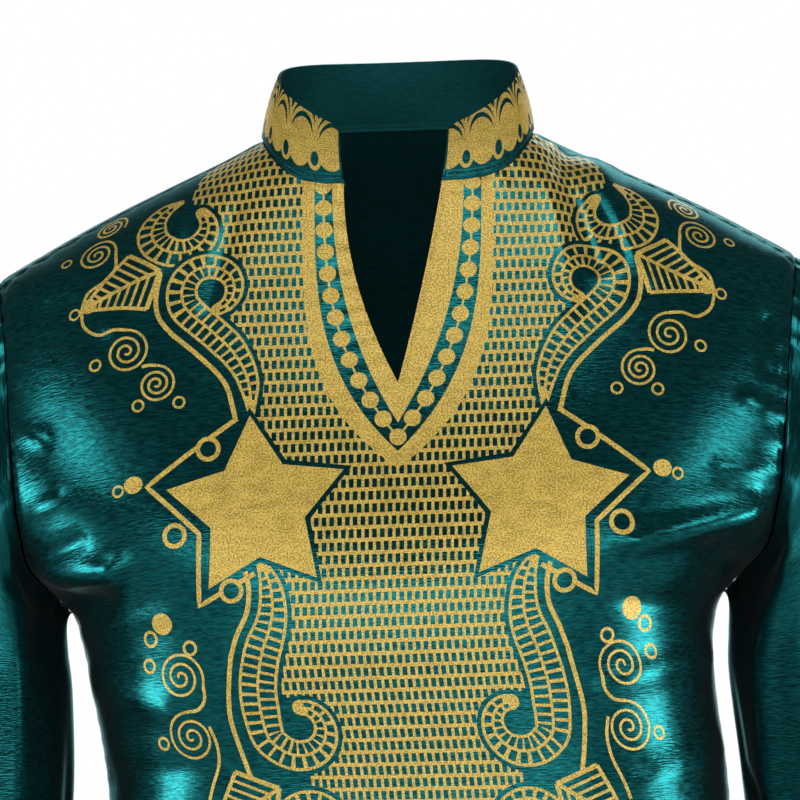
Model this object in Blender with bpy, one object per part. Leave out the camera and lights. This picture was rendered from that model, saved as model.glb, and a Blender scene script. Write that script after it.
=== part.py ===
"""Dashiki shirt as it is worn: front with a V slit, back, two set-in sleeves and a stand collar.

Metres, +Z up. The origin is the centre of the neck base, level with the two points where the
shoulder seams meet the collar. The front faces -Y and the wearer's left is +X. Each piece that a
maker cuts is one closed wall of cloth, 0.3 mm from its neighbours at the seams.
"""

from collections import namedtuple
from math import pi, radians

import bpy
import numpy as np

# Cloth
CLOTH = 0.0016
COLLAR_CLOTH = 0.0020
SEAM_GAP = 0.0003

# Torso: one closed section at each height. Half width, and depth to the front and to the back.
Section = namedtuple("Section", "height half_width front back")
TORSO = (
    Section(-0.700, 0.2060, 0.1120, 0.1180),
    Section(-0.600, 0.1960, 0.1090, 0.1150),
    Section(-0.500, 0.1780, 0.1030, 0.1030),
    Section(-0.420, 0.1685, 0.1020, 0.0930),
    Section(-0.355, 0.1675, 0.1070, 0.0920),
    Section(-0.300, 0.1680, 0.1170, 0.0960),
    Section(-0.270, 0.1705, 0.1230, 0.0990),
    Section(-0.2515, 0.1765, 0.1255, 0.1010),
    Section(-0.240, 0.1880, 0.1265, 0.1025),
    Section(-0.225, 0.2080, 0.1265, 0.1040),
    Section(-0.200, 0.2285, 0.1245, 0.1060),
    Section(-0.160, 0.2410, 0.1150, 0.1070),
    Section(-0.120, 0.2385, 0.1010, 0.1040),
    Section(-0.090, 0.2255, 0.0890, 0.0990),
    Section(-0.072, 0.2150, 0.0820, 0.0940),
    Section(-0.057, 0.1900, 0.0760, 0.0890),
    Section(-0.037, 0.1520, 0.0680, 0.0810),
    Section(-0.024, 0.1240, 0.0630, 0.0740),
    Section(-0.0085, 0.0900, 0.0570, 0.0640),
    Section(0.000, 0.0740, 0.0540, 0.0580),
    Section(0.010, 0.0600, 0.0510, 0.0510),
)
CORNER_FULLNESS = 0.045
HEM_HEIGHT = TORSO[0].height

# Armhole: how far out the seam lies at each height, from the underarm to the shoulder tip.
Seam = namedtuple("Seam", "height reach")
ARMHOLE = (
    Seam(-0.2515, 0.1765),
    Seam(-0.2450, 0.1825),
    Seam(-0.2300, 0.1960),
    Seam(-0.2070, 0.2020),
    Seam(-0.1640, 0.2065),
    Seam(-0.1090, 0.2105),
    Seam(-0.0720, 0.2150),
)
UNDERARM_HEIGHT = ARMHOLE[0].height
TIP_HEIGHT = ARMHOLE[-1].height
SHOULDER_SEAM_ANGLE = radians(74)

# Neckline and slit
NECK_HALF_WIDTH = 0.074
FRONT_NECK_DROP = 0.026
FRONT_NECK_SQUARENESS = 5.8
BACK_NECK_RISE = 0.006
BACK_NECK_SQUARENESS = 4
SLIT_BOTTOM = -0.133
Slit = namedtuple("Slit", "opening bow")
SLIT_EDGES = {-1: Slit(0.0290, 1.00), 1: Slit(0.0235, 0.25)}

# Collar: a band from the neckline to its rim
RIM_HALF_WIDTH = 0.0650
RIM_FRONT = 0.0430
RIM_BACK = 0.0500
RIM_TOP = 0.0420
RIM_DROP = 0.0425
RIM_CURVE = 2.4
RIM_END_ANGLE = {-1: radians(28.5), 1: radians(24.0)}
COLLAR_BOW = 0.0015
COLLAR_SEAM_GAP = 0.0005

# Sleeve: each ring runs through an inner point by the body and an outer point on the far side.
Ring = namedtuple("Ring", "along inner_x inner_z outer_x outer_z half_depth lead")
SLEEVE = (
    Ring(0, 0.1765, -0.2515, 0.2150, -0.0720, 0.0570, 0.000),
    Ring(1, 0.1775, -0.2530, 0.2400, -0.0900, 0.0615, 0.000),
    Ring(2, 0.1785, -0.2555, 0.2645, -0.1190, 0.0630, 0.000),
    Ring(3, 0.1790, -0.2590, 0.2850, -0.1600, 0.0635, 0.000),
    Ring(4, 0.1790, -0.2650, 0.2970, -0.2060, 0.0630, 0.000),
    Ring(5, 0.1785, -0.2750, 0.3030, -0.2530, 0.0615, 0.000),
    Ring(6, 0.1775, -0.2980, 0.3050, -0.3000, 0.0600, -0.001),
    Ring(7, 0.1810, -0.3550, 0.3050, -0.3560, 0.0585, -0.003),
    Ring(8, 0.1880, -0.4200, 0.3040, -0.4160, 0.0555, -0.007),
    Ring(9, 0.1960, -0.4900, 0.3020, -0.4820, 0.0510, -0.016),
    Ring(10, 0.2050, -0.5600, 0.2990, -0.5490, 0.0450, -0.028),
    Ring(11, 0.2130, -0.6330, 0.2930, -0.6210, 0.0385, -0.042),
)
HEAD_RINGS = 6

# Pose of the wearer: one shoulder a little higher, the waist a little to one side.
SHOULDER_TILT = 0.033
TILT_FADE = (-0.450, -0.250)
BODY_SWAY = 0.012
SLEEVE_SWAY = 0.006
SWAY_FADE = (-0.260, -0.370)

# Folds on the front: soft ridges (positive) and troughs (negative) along straight lines.
Fold = namedtuple("Fold", "x_1 z_1 x_2 z_2 width rise")
FRONT_FOLDS = (
    Fold(-0.190, -0.2310, -0.152, -0.2280, 0.0085, 0.0060),
    Fold(-0.180, -0.2460, -0.160, -0.2470, 0.0080, -0.0050),
    Fold(0.126, -0.2200, 0.192, -0.2080, 0.0085, 0.0060),
    Fold(0.168, -0.2290, 0.178, -0.2420, 0.0080, -0.0045),
    Fold(0.088, -0.0150, 0.108, -0.0700, 0.0090, -0.0045),
    Fold(0.106, -0.0250, 0.128, -0.0800, 0.0100, 0.0030),
)
BACK_FOLDS = (
    Fold(-0.185, -0.2250, -0.120, -0.2550, 0.0110, 0.0050),
    Fold(0.185, -0.2150, 0.125, -0.2500, 0.0110, 0.0050),
    Fold(-0.070, -0.3700, 0.075, -0.3850, 0.0160, 0.0045),
)
SEAM_MARGIN = 0.016
HEM_WAVES = 7
HEM_WAVE_RISE = 0.0040
HEM_WAVE_FADE = (-0.420, -0.700)

# Folds on the sleeves: place round the ring in degrees from its top, and along the sleeve.
SleeveFold = namedtuple("SleeveFold", "side turn_1 along_1 turn_2 along_2 width rise")
SLEEVE_FOLDS = (
    SleeveFold(1, 52, 1.2, 78, 6.5, 9, 0.0040),
    SleeveFold(1, 105, 2.2, 88, 7.5, 9, -0.0040),
    SleeveFold(1, 128, 3.0, 150, 8.5, 10, 0.0035),
    SleeveFold(1, 235, 2.0, 262, 8.0, 11, 0.0040),
    SleeveFold(1, 300, 7.0, 215, 8.4, 12, 0.0045),
    SleeveFold(1, 60, 7.8, 130, 8.8, 12, 0.0045),
    SleeveFold(-1, 60, 1.6, 84, 7.0, 9, 0.0040),
    SleeveFold(-1, 108, 2.4, 96, 8.0, 9, -0.0040),
    SleeveFold(-1, 132, 3.4, 118, 8.0, 10, 0.0035),
    SleeveFold(-1, 240, 2.4, 250, 7.4, 11, 0.0040),
    SleeveFold(-1, 290, 7.4, 220, 8.8, 12, 0.0045),
    SleeveFold(-1, 70, 7.4, 140, 8.2, 12, 0.0045),
)

# Mesh steps
Span = namedtuple("Span", "outer inner rows")
FRONT_SPANS = (
    Span((0.00, 1.00), (0.00, 0.80), 13),
    Span((1.00, 1.62), (0.80, 1.00), 8),
    Span((1.62, 2.00), (1.00, 1.72), 6),
    Span((2.00, 2.30), (1.72, 2.00), 3),
    Span((2.30, 3.00), (2.00, 3.00), 7),
)
BACK_SPANS = (
    Span((0.00, 1.00), (0.00, 0.62), 13),
    Span((1.00, 2.00), (0.62, 0.94), 11),
    Span((2.00, 2.30), (0.94, 1.00), 3),
    Span((2.30, 3.00), (1.00, 2.00), 7),
)
FRONT_COLUMNS = 12
BACK_COLUMNS = 9
CREST_DRAW = 0.009
SLEEVE_RINGS = 27
SLEEVE_SPREAD = 1.15
COLLAR_ROWS = 4

TINY = 1e-5

# Finish: colour as linear red, green, blue, with roughness and metallic value
Finish = namedtuple("Finish", "colour roughness metallic")
FINISHES = {
    "front": Finish((0.010, 0.150, 0.155), 0.32, 0.35),
    "back": Finish((0.009, 0.130, 0.135), 0.32, 0.35),
    "sleeve_left": Finish((0.008, 0.120, 0.125), 0.32, 0.35),
    "sleeve_right": Finish((0.008, 0.120, 0.125), 0.32, 0.35),
    "collar": Finish((0.420, 0.300, 0.080), 0.40, 0.50),
}


def smooth_table(rows, column, at):
    """Value of a table's column at the given places: a smooth curve through its rows."""
    knots = np.array([row[0] for row in rows])
    values = np.array([getattr(row, column) for row in rows])
    slopes = np.gradient(values, knots)
    at = np.clip(at, knots[0] - 4 * TINY, knots[-1] + 4 * TINY)
    i = np.clip(np.searchsorted(knots, at) - 1, 0, len(knots) - 2)
    span = knots[i + 1] - knots[i]
    t = (at - knots[i]) / span
    rise = values[i + 1] - values[i]
    start = slopes[i] * span
    end = slopes[i + 1] * span
    return values[i] + t * (start + t * (3 * rise - 2 * start - end + t * (start + end - 2 * rise)))


def ease(low, high, at):
    """0 at low, 1 at high, with a soft start and end."""
    t = np.clip((at - low) / (high - low), 0, 1)
    return t * t * (3 - 2 * t)


def unit(vectors):
    return vectors / np.linalg.norm(vectors, axis=-1, keepdims=True)


def dot(a, b):
    return np.sum(a * b, axis=-1, keepdims=True)


def posed(points, sway):
    """The upright garment, leaned to the wearer's pose."""
    x, y, z = points[..., 0], points[..., 1], points[..., 2]
    tilt = SHOULDER_TILT * ease(*TILT_FADE, z)
    return np.stack([x + sway * ease(*SWAY_FADE, z), y, z + tilt * x], axis=-1)


def outward(surface, u, v):
    """Unit normal of a surface of two parameters, pointing out of the garment."""
    across = surface(u + TINY, v) - surface(u - TINY, v)
    up = surface(u, v + TINY) - surface(u, v - TINY)
    return unit(np.cross(across, up))


def bare_torso(angle, height):
    """Torso without folds. Angle 0 is the centre front, a quarter turn is the wearer's left."""
    width = smooth_table(TORSO, "half_width", height)
    front = smooth_table(TORSO, "front", height)
    back = smooth_table(TORSO, "back", height)
    depth = np.where(np.cos(angle) > 0, front, back)
    full = 1 + CORNER_FULLNESS * np.sin(2 * angle) ** 2
    x = width * np.sin(angle) * full
    y = -depth * np.cos(angle) * full
    return np.stack([x, y, height + 0 * x], axis=-1)


def line_folds(folds, x, z):
    """Height of straight folds at places in the front view."""
    total = np.zeros_like(x)
    for fold in folds:
        run_x = fold.x_2 - fold.x_1
        run_z = fold.z_2 - fold.z_1
        length_2 = run_x**2 + run_z**2
        t = np.clip(((x - fold.x_1) * run_x + (z - fold.z_1) * run_z) / length_2, 0, 1)
        away_2 = (x - fold.x_1 - t * run_x) ** 2 + (z - fold.z_1 - t * run_z) ** 2
        total += fold.rise * np.exp(-away_2 / fold.width**2)
    return total


def torso(angle, height):
    """The torso's outer surface, with its folds and in the wearer's pose."""
    angle, height = np.broadcast_arrays(angle, height)
    points = bare_torso(angle, height)
    x, y, z = points[..., 0], points[..., 1], points[..., 2]
    facing = ease(0.0, 0.25, np.cos(angle))
    behind = ease(0.0, 0.25, -np.cos(angle))
    folds = facing * line_folds(FRONT_FOLDS, x, z) + behind * line_folds(BACK_FOLDS, x, z)
    seam = smooth_table(ARMHOLE, "reach", z) - np.abs(x)
    above = ease(UNDERARM_HEIGHT - SEAM_MARGIN, UNDERARM_HEIGHT, z)
    folds *= 1 - above * (1 - ease(0, SEAM_MARGIN, seam))
    folds *= ease(1.05, 1.35, np.hypot(x, y) / NECK_HALF_WIDTH)
    waves = HEM_WAVE_RISE * np.cos(HEM_WAVES * angle + 0.6) * ease(*HEM_WAVE_FADE, z)
    rise = (folds + waves)[..., None]
    return posed(points + rise * outward(bare_torso, angle, height), BODY_SWAY)


def solve_angle(x, height, low, high):
    """Angles at which the torso's sections reach x, by halving between two angles."""
    low = low + 0 * x
    high = high + 0 * x
    for _ in range(50):
        middle = (low + high) / 2
        short = bare_torso(middle, height)[..., 0] < x
        low = np.where(short, middle, low)
        high = np.where(short, high, middle)
    return (low + high) / 2


def crest_lift(start, angle):
    """How far a row that starts in front of the shoulder's crest rises on its way over it, so
    that it draws in a little from the armhole."""
    passed = (angle - start[0]) / (pi - 2 * start[0])
    reach = bare_torso(*start)[0] - CREST_DRAW * passed
    low = np.full_like(angle, -0.150)
    high = np.full_like(angle, TORSO[-1].height)
    for _ in range(50):
        middle = (low + high) / 2
        wide = bare_torso(angle, middle)[..., 0] > reach
        low = np.where(wide, middle, low)
        high = np.where(wide, high, middle)
    return np.where(angle < pi - start[0], middle - start[1], 0)


def armhole(turn):
    """Angle and height of the armhole seam. Turn 0 is the shoulder tip, pi the underarm,
    with the front between them and the back beyond."""
    middle = (TIP_HEIGHT + UNDERARM_HEIGHT) / 2
    height = middle + (TIP_HEIGHT - middle) * np.cos(turn)
    reach = smooth_table(ARMHOLE, "reach", height)
    angle = solve_angle(reach, height, 0.0, pi / 2)
    return np.where(np.sin(turn) >= 0, angle, pi - angle), height


def neckline(turn):
    """Angle and height of the neckline. Turn 0 is the centre front, pi the centre back."""
    part = np.abs(np.sin(turn))
    drop = -FRONT_NECK_DROP * (1 - part**FRONT_NECK_SQUARENESS)
    rise = BACK_NECK_RISE * (1 - part**BACK_NECK_SQUARENESS)
    height = np.where(np.cos(turn) > 0, drop, rise)
    angle = solve_angle(NECK_HALF_WIDTH * part, height, 0.0, pi / 2)
    return np.where(np.cos(turn) > 0, angle, pi - angle), height


def turn_at(path, wanted, low, high):
    """Turn at which a path's angle comes to the wanted one, by halving."""
    rising = path(np.array(high))[0] > path(np.array(low))[0]
    for _ in range(50):
        middle = (low + high) / 2
        if (path(np.array(middle))[0] < wanted) == rising:
            low = middle
        else:
            high = middle
    return middle


ARMHOLE_SEAM_TURN = turn_at(armhole, SHOULDER_SEAM_ANGLE, 0.0, 1.2)
NECK_SEAM_TURN = turn_at(neckline, SHOULDER_SEAM_ANGLE, 0.8, pi / 2)


def armhole_turn(at, is_front):
    """Turn round the armhole at a place on a panel's outer edge: 1 the underarm, 2 the shoulder
    seam."""
    start = pi if is_front else -pi
    return start + (at - 1) * (ARMHOLE_SEAM_TURN - start)


def neck_turn(at, end):
    """Turn round the neckline between the shoulder seam, at 0, and an end, at 1."""
    return NECK_SEAM_TURN + at * (end - NECK_SEAM_TURN)


def slit_turn(side):
    """Turn round the neckline at the slit's top corner."""
    return np.arcsin(SLIT_EDGES[side].opening / NECK_HALF_WIDTH)


def outer_edge(at, is_front):
    """Angle and height along a panel's outer edge: 0 to 1 the side seam, 1 to 2 the armhole,
    2 to 3 the shoulder seam."""
    if at <= 1:
        return pi / 2, HEM_HEIGHT + at * (UNDERARM_HEIGHT - HEM_HEIGHT)
    if at <= 2:
        return armhole(np.array(armhole_turn(at, is_front)))
    tip = armhole(np.array(ARMHOLE_SEAM_TURN))[1]
    neck = neckline(np.array(NECK_SEAM_TURN))[1]
    return SHOULDER_SEAM_ANGLE, tip + (at - 2) * (neck - tip)


def slit_edge(at, side):
    """Angle and height along the slit: 0 at its bottom, 1 at the neckline."""
    slit = SLIT_EDGES[side]
    top = neckline(np.array(slit_turn(side)))[1]
    height = SLIT_BOTTOM + at * (top - SLIT_BOTTOM)
    x = slit.opening * (at + slit.bow * at * (1 - at))
    return solve_angle(np.array(x), height, 0.0, pi / 2), height


def front_inner_edge(at, side):
    """Angle and height along the front's inner edge: 0 to 1 the centre line, 1 to 2 the slit,
    2 to 3 the neckline."""
    if at <= 1:
        return 0.0, HEM_HEIGHT + at * (SLIT_BOTTOM - HEM_HEIGHT)
    if at <= 2:
        return slit_edge(at - 1, side)
    return neckline(np.array(neck_turn(3 - at, slit_turn(side))))


def back_inner_edge(at, side):
    """Angle and height along the back's inner edge: 0 to 1 the centre line, 1 to 2 the neckline."""
    if at <= 1:
        return pi, HEM_HEIGHT + at * (BACK_NECK_RISE - HEM_HEIGHT)
    return neckline(np.array(neck_turn(2 - at, pi)))


def rows_of(spans):
    """Pairs of places on the outer and the inner edge, one for each row of a panel."""
    pairs = [(spans[0].outer[0], spans[0].inner[0])]
    for span in spans:
        for step in range(1, span.rows + 1):
            t = step / span.rows
            outer = span.outer[0] + t * (span.outer[1] - span.outer[0])
            inner = span.inner[0] + t * (span.inner[1] - span.inner[0])
            pairs.append((outer, inner))
    return pairs


def half_panel(side, spans, columns, is_front):
    """Angles and heights of one half of a panel, a row for each pair of edge places."""
    inner_edge = front_inner_edge if is_front else back_inner_edge
    grid = []
    for outer_at, inner_at in rows_of(spans):
        outer = np.array(outer_edge(outer_at, is_front), dtype=float)
        inner = np.array(inner_edge(inner_at, side), dtype=float)
        if outer_at != 0:
            outer[0] += seam_step(outer, is_front, outer_at)
        t = np.linspace(0, 1, columns + 1)[:, None]
        row = outer + t * (inner - outer)
        if outer[0] < pi / 2 and not is_front:
            row[:, 1] += crest_lift(outer, row[:, 0]) * (1 - t[:, 0] ** 3)
        grid.append(row)
    grid[0][:, 0] = grid[1][:, 0]
    grid = np.array(grid)
    return side * grid[..., 0], grid[..., 1]


def seam_step(edge, is_front, at):
    """Turn that takes an edge point half a seam gap back from a side or shoulder seam."""
    if 1 < at < 2:
        return 0.0
    section = bare_torso(edge[0] + TINY, edge[1]) - bare_torso(edge[0] - TINY, edge[1])
    step = SEAM_GAP / 2 * 2 * TINY / np.linalg.norm(section)
    return -step if is_front else step


def grid_faces(rows, columns, first, flip):
    """Faces of a grid of points, as indices that start at first."""
    faces = []
    for row in range(rows - 1):
        for column in range(columns - 1):
            a = first + row * columns + column
            face = (a, a + 1, a + columns + 1, a + columns)
            faces.append(face[::-1] if flip else face)
    return faces


def cloth_wall(name, points, normals, faces, thickness):
    """A closed wall: the outer faces, the same faces one thickness inside, and the rims."""
    keys, first, index = np.unique(
        np.round(points, 7), axis=0, return_index=True, return_inverse=True
    )
    index = index.reshape(-1)
    outer = points[first]
    inner = outer - thickness * normals[first]
    count = len(keys)
    welded = []
    for face in faces:
        corners = list(dict.fromkeys(index[corner] for corner in face))
        if len(corners) > 2:
            welded.append(corners)
    edges = {}
    for face in welded:
        for a, b in zip(face, face[1:] + face[:1]):
            edges[(a, b)] = edges.get((a, b), 0) + 1
    walls = [[b, a, a + count, b + count] for a, b in edges if (b, a) not in edges]
    inside = [[corner + count for corner in reversed(face)] for face in welded]
    mesh = bpy.data.meshes.new(name)
    mesh.from_pydata(np.concatenate([outer, inner]).tolist(), [], welded + inside + walls)
    mesh.validate()
    mesh.shade_smooth()
    mesh.set_sharp_from_angle(angle=radians(50))
    return bpy.data.objects.new(name, mesh)


def build_panel(name, spans, columns, is_front):
    """The front or the back, from its two halves."""
    points, normals, faces = [], [], []
    count = 0
    for side in (-1, 1):
        angle, height = half_panel(side, spans, columns, is_front)
        points.append(torso(angle, height).reshape(-1, 3))
        normals.append(outward(torso, angle, height).reshape(-1, 3))
        faces += grid_faces(*angle.shape, count, flip=(side > 0) == is_front)
        count += angle.size
    return cloth_wall(name, np.concatenate(points), np.concatenate(normals), faces, CLOTH)


def ring_point(turn, along):
    """A sleeve's ring as a plain oval, before it takes the armhole's shape."""
    inner_x = smooth_table(SLEEVE, "inner_x", along)
    inner_z = smooth_table(SLEEVE, "inner_z", along)
    part = (1 + np.cos(turn)) / 2
    x = inner_x + part * (smooth_table(SLEEVE, "outer_x", along) - inner_x)
    z = inner_z + part * (smooth_table(SLEEVE, "outer_z", along) - inner_z)
    depth = smooth_table(SLEEVE, "half_depth", along)
    y = smooth_table(SLEEVE, "lead", along) - depth * np.sin(turn)
    return np.stack([x, y, z], axis=-1)


def bare_sleeve(turn, along):
    """The wearer's left sleeve without folds. Its first ring is the armhole seam."""
    turn, along = np.broadcast_arrays(turn, along)
    start = np.zeros_like(along)
    angle, height = armhole(turn % (2 * pi))
    seam = bare_torso(angle, height)
    fade = (1 - ease(0, HEAD_RINGS, along))[..., None]
    return ring_point(turn, along) + fade * (seam - ring_point(turn, start))


def sleeve_surface(side):
    """The outer surface of the sleeve on one side, in the wearer's pose."""

    def surface(turn, along):
        turn, along = np.broadcast_arrays(turn, along)
        rise = np.zeros_like(along)
        for fold in SLEEVE_FOLDS:
            if fold.side != side:
                continue
            t = np.clip((along - fold.along_1) / (fold.along_2 - fold.along_1), 0, 1)
            centre = np.radians(fold.turn_1 + t * (fold.turn_2 - fold.turn_1))
            away = np.degrees((turn - centre + pi) % (2 * pi) - pi)
            over = along - np.clip(along, fold.along_1, fold.along_2)
            rise = rise + fold.rise * np.exp(-((away / fold.width) ** 2) - (over / 0.8) ** 2)
        rise = rise * ease(0.3, 1.6, along)
        normal = outward(bare_sleeve, turn, along)
        points = bare_sleeve(turn, along) + rise[..., None] * normal
        points = points * np.array([side, 1, 1])
        return posed(points, SLEEVE_SWAY)

    return surface


def build_sleeve(name, side):
    """A sleeve: rings that fan round the underarm and then run down to a plain cuff."""
    surface = sleeve_surface(side)
    rings = np.linspace(0, 1, SLEEVE_RINGS + 1)
    along = SLEEVE[-1].along * rings**SLEEVE_SPREAD
    front = [armhole_turn(outer, True) for outer, _ in rows_of(FRONT_SPANS) if 1 <= outer <= 2]
    back = [armhole_turn(outer, False) for outer, _ in rows_of(BACK_SPANS) if 1 < outer < 2]
    columns = len(front) + len(back)
    turn, along = np.meshgrid(np.array(front[::-1] + back), along)
    points = surface(turn, along)
    normals = side * outward(surface, turn, along)
    angle, height = armhole(turn[0] % (2 * pi))
    across = seam_direction(angle * side, height)
    seam = points[0].copy()
    points[0] = points[0] + np.array([side * SEAM_GAP, 0, 0])
    normals = clear_of(normals, across, (dot(points - seam, across) - SEAM_GAP) / CLOTH)
    faces = []
    for row in range(SLEEVE_RINGS):
        for column in range(columns):
            a = row * columns + column
            b = row * columns + (column + 1) % columns
            face = (a, b, b + columns, a + columns)
            faces.append(face if side > 0 else face[::-1])
    return cloth_wall(name, points.reshape(-1, 3), normals.reshape(-1, 3), faces, CLOTH)


def seam_direction(angle, height):
    """Direction that leads off the torso across the armhole seam, along its surface."""
    normal = outward(torso, angle, height)
    edge = unit(np.roll(torso(angle, height), -1, axis=0) - np.roll(torso(angle, height), 1, axis=0))
    across = unit(np.cross(normal, edge))
    return across * np.sign(across[..., :1] * np.sin(angle)[..., None])


def clear_of(normals, across, room):
    """Wall directions, turned where the inner side would lean past the seam into its neighbour.
    Room is the distance from the seam, in thicknesses of cloth."""
    return normals - np.maximum(dot(normals, across) - np.maximum(room, 0), 0) * across


def rim_point(turn):
    """The collar's top edge. Turn 0 is the centre front, pi the centre back."""
    lean = ((1 + np.cos(turn)) / 2) ** RIM_CURVE
    depth = np.where(np.cos(turn) > 0, RIM_FRONT, RIM_BACK)
    return np.stack(
        [RIM_HALF_WIDTH * np.sin(turn), -depth * np.cos(turn), RIM_TOP - RIM_DROP * lean],
        axis=-1,
    )


def collar_point(side, turn, up):
    """The collar's outer surface: turn from the centre front, up from 0 at its seam to 1."""
    base_end = np.where(side < 0, slit_turn(-1), slit_turn(1))
    rim_end = np.where(side < 0, RIM_END_ANGLE[-1], RIM_END_ANGLE[1])
    angle, height = neckline(turn)
    foot = bare_torso(angle, height)
    top = rim_point(pi - (pi - turn) * (pi - rim_end) / (pi - base_end))
    foot = foot + COLLAR_SEAM_GAP * unit(top - foot)
    out = np.stack([np.sin(turn), -np.cos(turn), 0 * turn], axis=-1)
    bow = (COLLAR_BOW * 4 * up * (1 - up))[..., None]
    points = foot + up[..., None] * (top - foot) + bow * out
    points[..., 0] *= side
    return posed(points, BODY_SWAY)


def neck_direction(side, turn):
    """Direction that leads off the torso across the neckline seam, along its surface."""
    angle, height = neckline(turn)
    normal = outward(torso, side * angle, height)
    edge = unit(np.gradient(torso(side * angle, height), axis=0))
    across = unit(np.cross(normal, edge))
    return across * np.sign(across[..., 2:])


def build_collar(name):
    """The stand collar: a band round the neckline, open at the front."""
    front = [at - 2 for _, at in rows_of(FRONT_SPANS) if at >= 2]
    back = [at - 1 for _, at in rows_of(BACK_SPANS) if at >= 1]
    columns = []
    for side in (-1, 1):
        turns = [neck_turn(1 - at, slit_turn(side)) for at in front]
        turns += [neck_turn(1 - at, pi) for at in back[-2::-1]]
        if side > 0:
            turns = turns[-2::-1]
        columns += [(side, turn) for turn in turns]
    side = np.array([column[0] for column in columns])
    turn = np.array([column[1] for column in columns])
    up = np.linspace(0, 1, COLLAR_ROWS + 1)
    side_grid, _ = np.meshgrid(side, up)
    turn_grid, up_grid = np.meshgrid(turn, up)
    points = collar_point(side_grid, turn_grid, up_grid)
    normals = unit(np.cross(np.gradient(points, axis=0), np.gradient(points, axis=1)))
    normals = normals * np.sign(dot(normals, points * np.array([1, 1, 0])))
    normals[0] = clear_of(normals[0], neck_direction(side, turn), 0)
    faces = grid_faces(*turn_grid.shape, 0, flip=True)
    return cloth_wall(
        name, points.reshape(-1, 3), normals.reshape(-1, 3), faces, COLLAR_CLOTH
    )


def material_for(name):
    """A principled material with the piece's colour, roughness and metallic value."""
    finish = FINISHES[name]
    material = bpy.data.materials.new(name)
    material.use_nodes = True
    shader = material.node_tree.nodes["Principled BSDF"]
    shader.inputs["Base Color"].default_value = (*finish.colour, 1)
    shader.inputs["Roughness"].default_value = finish.roughness
    shader.inputs["Metallic"].default_value = finish.metallic
    return material


def main():
    for old in list(bpy.data.objects):
        bpy.data.objects.remove(old)
    shirt = bpy.data.collections.new("dashiki_shirt")
    bpy.context.scene.collection.children.link(shirt)
    pieces = (
        build_panel("front", FRONT_SPANS, FRONT_COLUMNS, True),
        build_panel("back", BACK_SPANS, BACK_COLUMNS, False),
        build_sleeve("sleeve_left", 1),
        build_sleeve("sleeve_right", -1),
        build_collar("collar"),
    )
    for piece in pieces:
        piece.data.materials.append(material_for(piece.name))
        shirt.objects.link(piece)


main()
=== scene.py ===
"""Looks of the dashiki shirt: a printed satin front, a plain back, two sleeves and a stand collar.

Metres, +Z up, in the frame of the CAD solids. Each piece of cloth is a thin closed shell on the
form of its solid, with finer creases, rows of stitches and a foil print laid out by formula on
the flat cloth.
"""

import logging
from collections.abc import Callable, Sequence
from dataclasses import dataclass, field
from enum import Enum
from functools import cache
from math import ceil, pi, radians
from typing import Any, NamedTuple

import bpy
import numpy as np
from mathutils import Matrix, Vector
from mathutils.geometry import delaunay_2d_cdt
from mathutils.kdtree import KDTree


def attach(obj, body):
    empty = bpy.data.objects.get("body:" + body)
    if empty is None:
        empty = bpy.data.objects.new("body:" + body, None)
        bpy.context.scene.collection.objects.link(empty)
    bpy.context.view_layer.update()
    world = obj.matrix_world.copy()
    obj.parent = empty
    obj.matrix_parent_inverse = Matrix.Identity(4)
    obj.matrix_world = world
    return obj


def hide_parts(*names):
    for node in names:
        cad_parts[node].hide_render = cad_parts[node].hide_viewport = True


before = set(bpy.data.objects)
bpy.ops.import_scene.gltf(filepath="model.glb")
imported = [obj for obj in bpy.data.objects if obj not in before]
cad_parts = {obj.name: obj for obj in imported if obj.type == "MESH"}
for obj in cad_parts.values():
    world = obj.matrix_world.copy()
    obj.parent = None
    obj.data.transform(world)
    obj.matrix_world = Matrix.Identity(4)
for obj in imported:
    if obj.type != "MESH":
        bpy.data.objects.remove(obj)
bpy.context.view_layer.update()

Array = np.ndarray
Surface = Callable[[Array, Array], Array]

TINY = 1e-5


class Side(Enum):
    """The wearer's two sides, as the sign of X."""

    RIGHT = -1
    LEFT = 1


class Paint(Enum):
    """What covers a face of cloth. The value is its material's place on the piece."""

    SATIN = 0
    FOIL = 1
    INSIDE = 2


# The garment's form, as in the solids


class Section(NamedTuple):
    """Torso section: its half width and its depth to the front and to the back."""

    height: float
    half_width: float
    front: float
    back: float


class Seam(NamedTuple):
    """Armhole seam: how far out it lies at a height."""

    height: float
    reach: float


class Slit(NamedTuple):
    """One edge of the slit: its opening at the top, and how much it bows."""

    opening: float
    bow: float


class Ring(NamedTuple):
    """Sleeve ring, through an inner point by the body and an outer point on the far side."""

    along: float
    inner_x: float
    inner_z: float
    outer_x: float
    outer_z: float
    half_depth: float
    lead: float


class Fold(NamedTuple):
    """Soft ridge or trough along a straight line in the front view."""

    x_1: float
    z_1: float
    x_2: float
    z_2: float
    width: float
    rise: float


class SleeveFold(NamedTuple):
    """Soft ridge or trough on a sleeve: degrees round from its top, and rings along it."""

    side: int
    turn_1: float
    along_1: float
    turn_2: float
    along_2: float
    width: float
    rise: float


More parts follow.
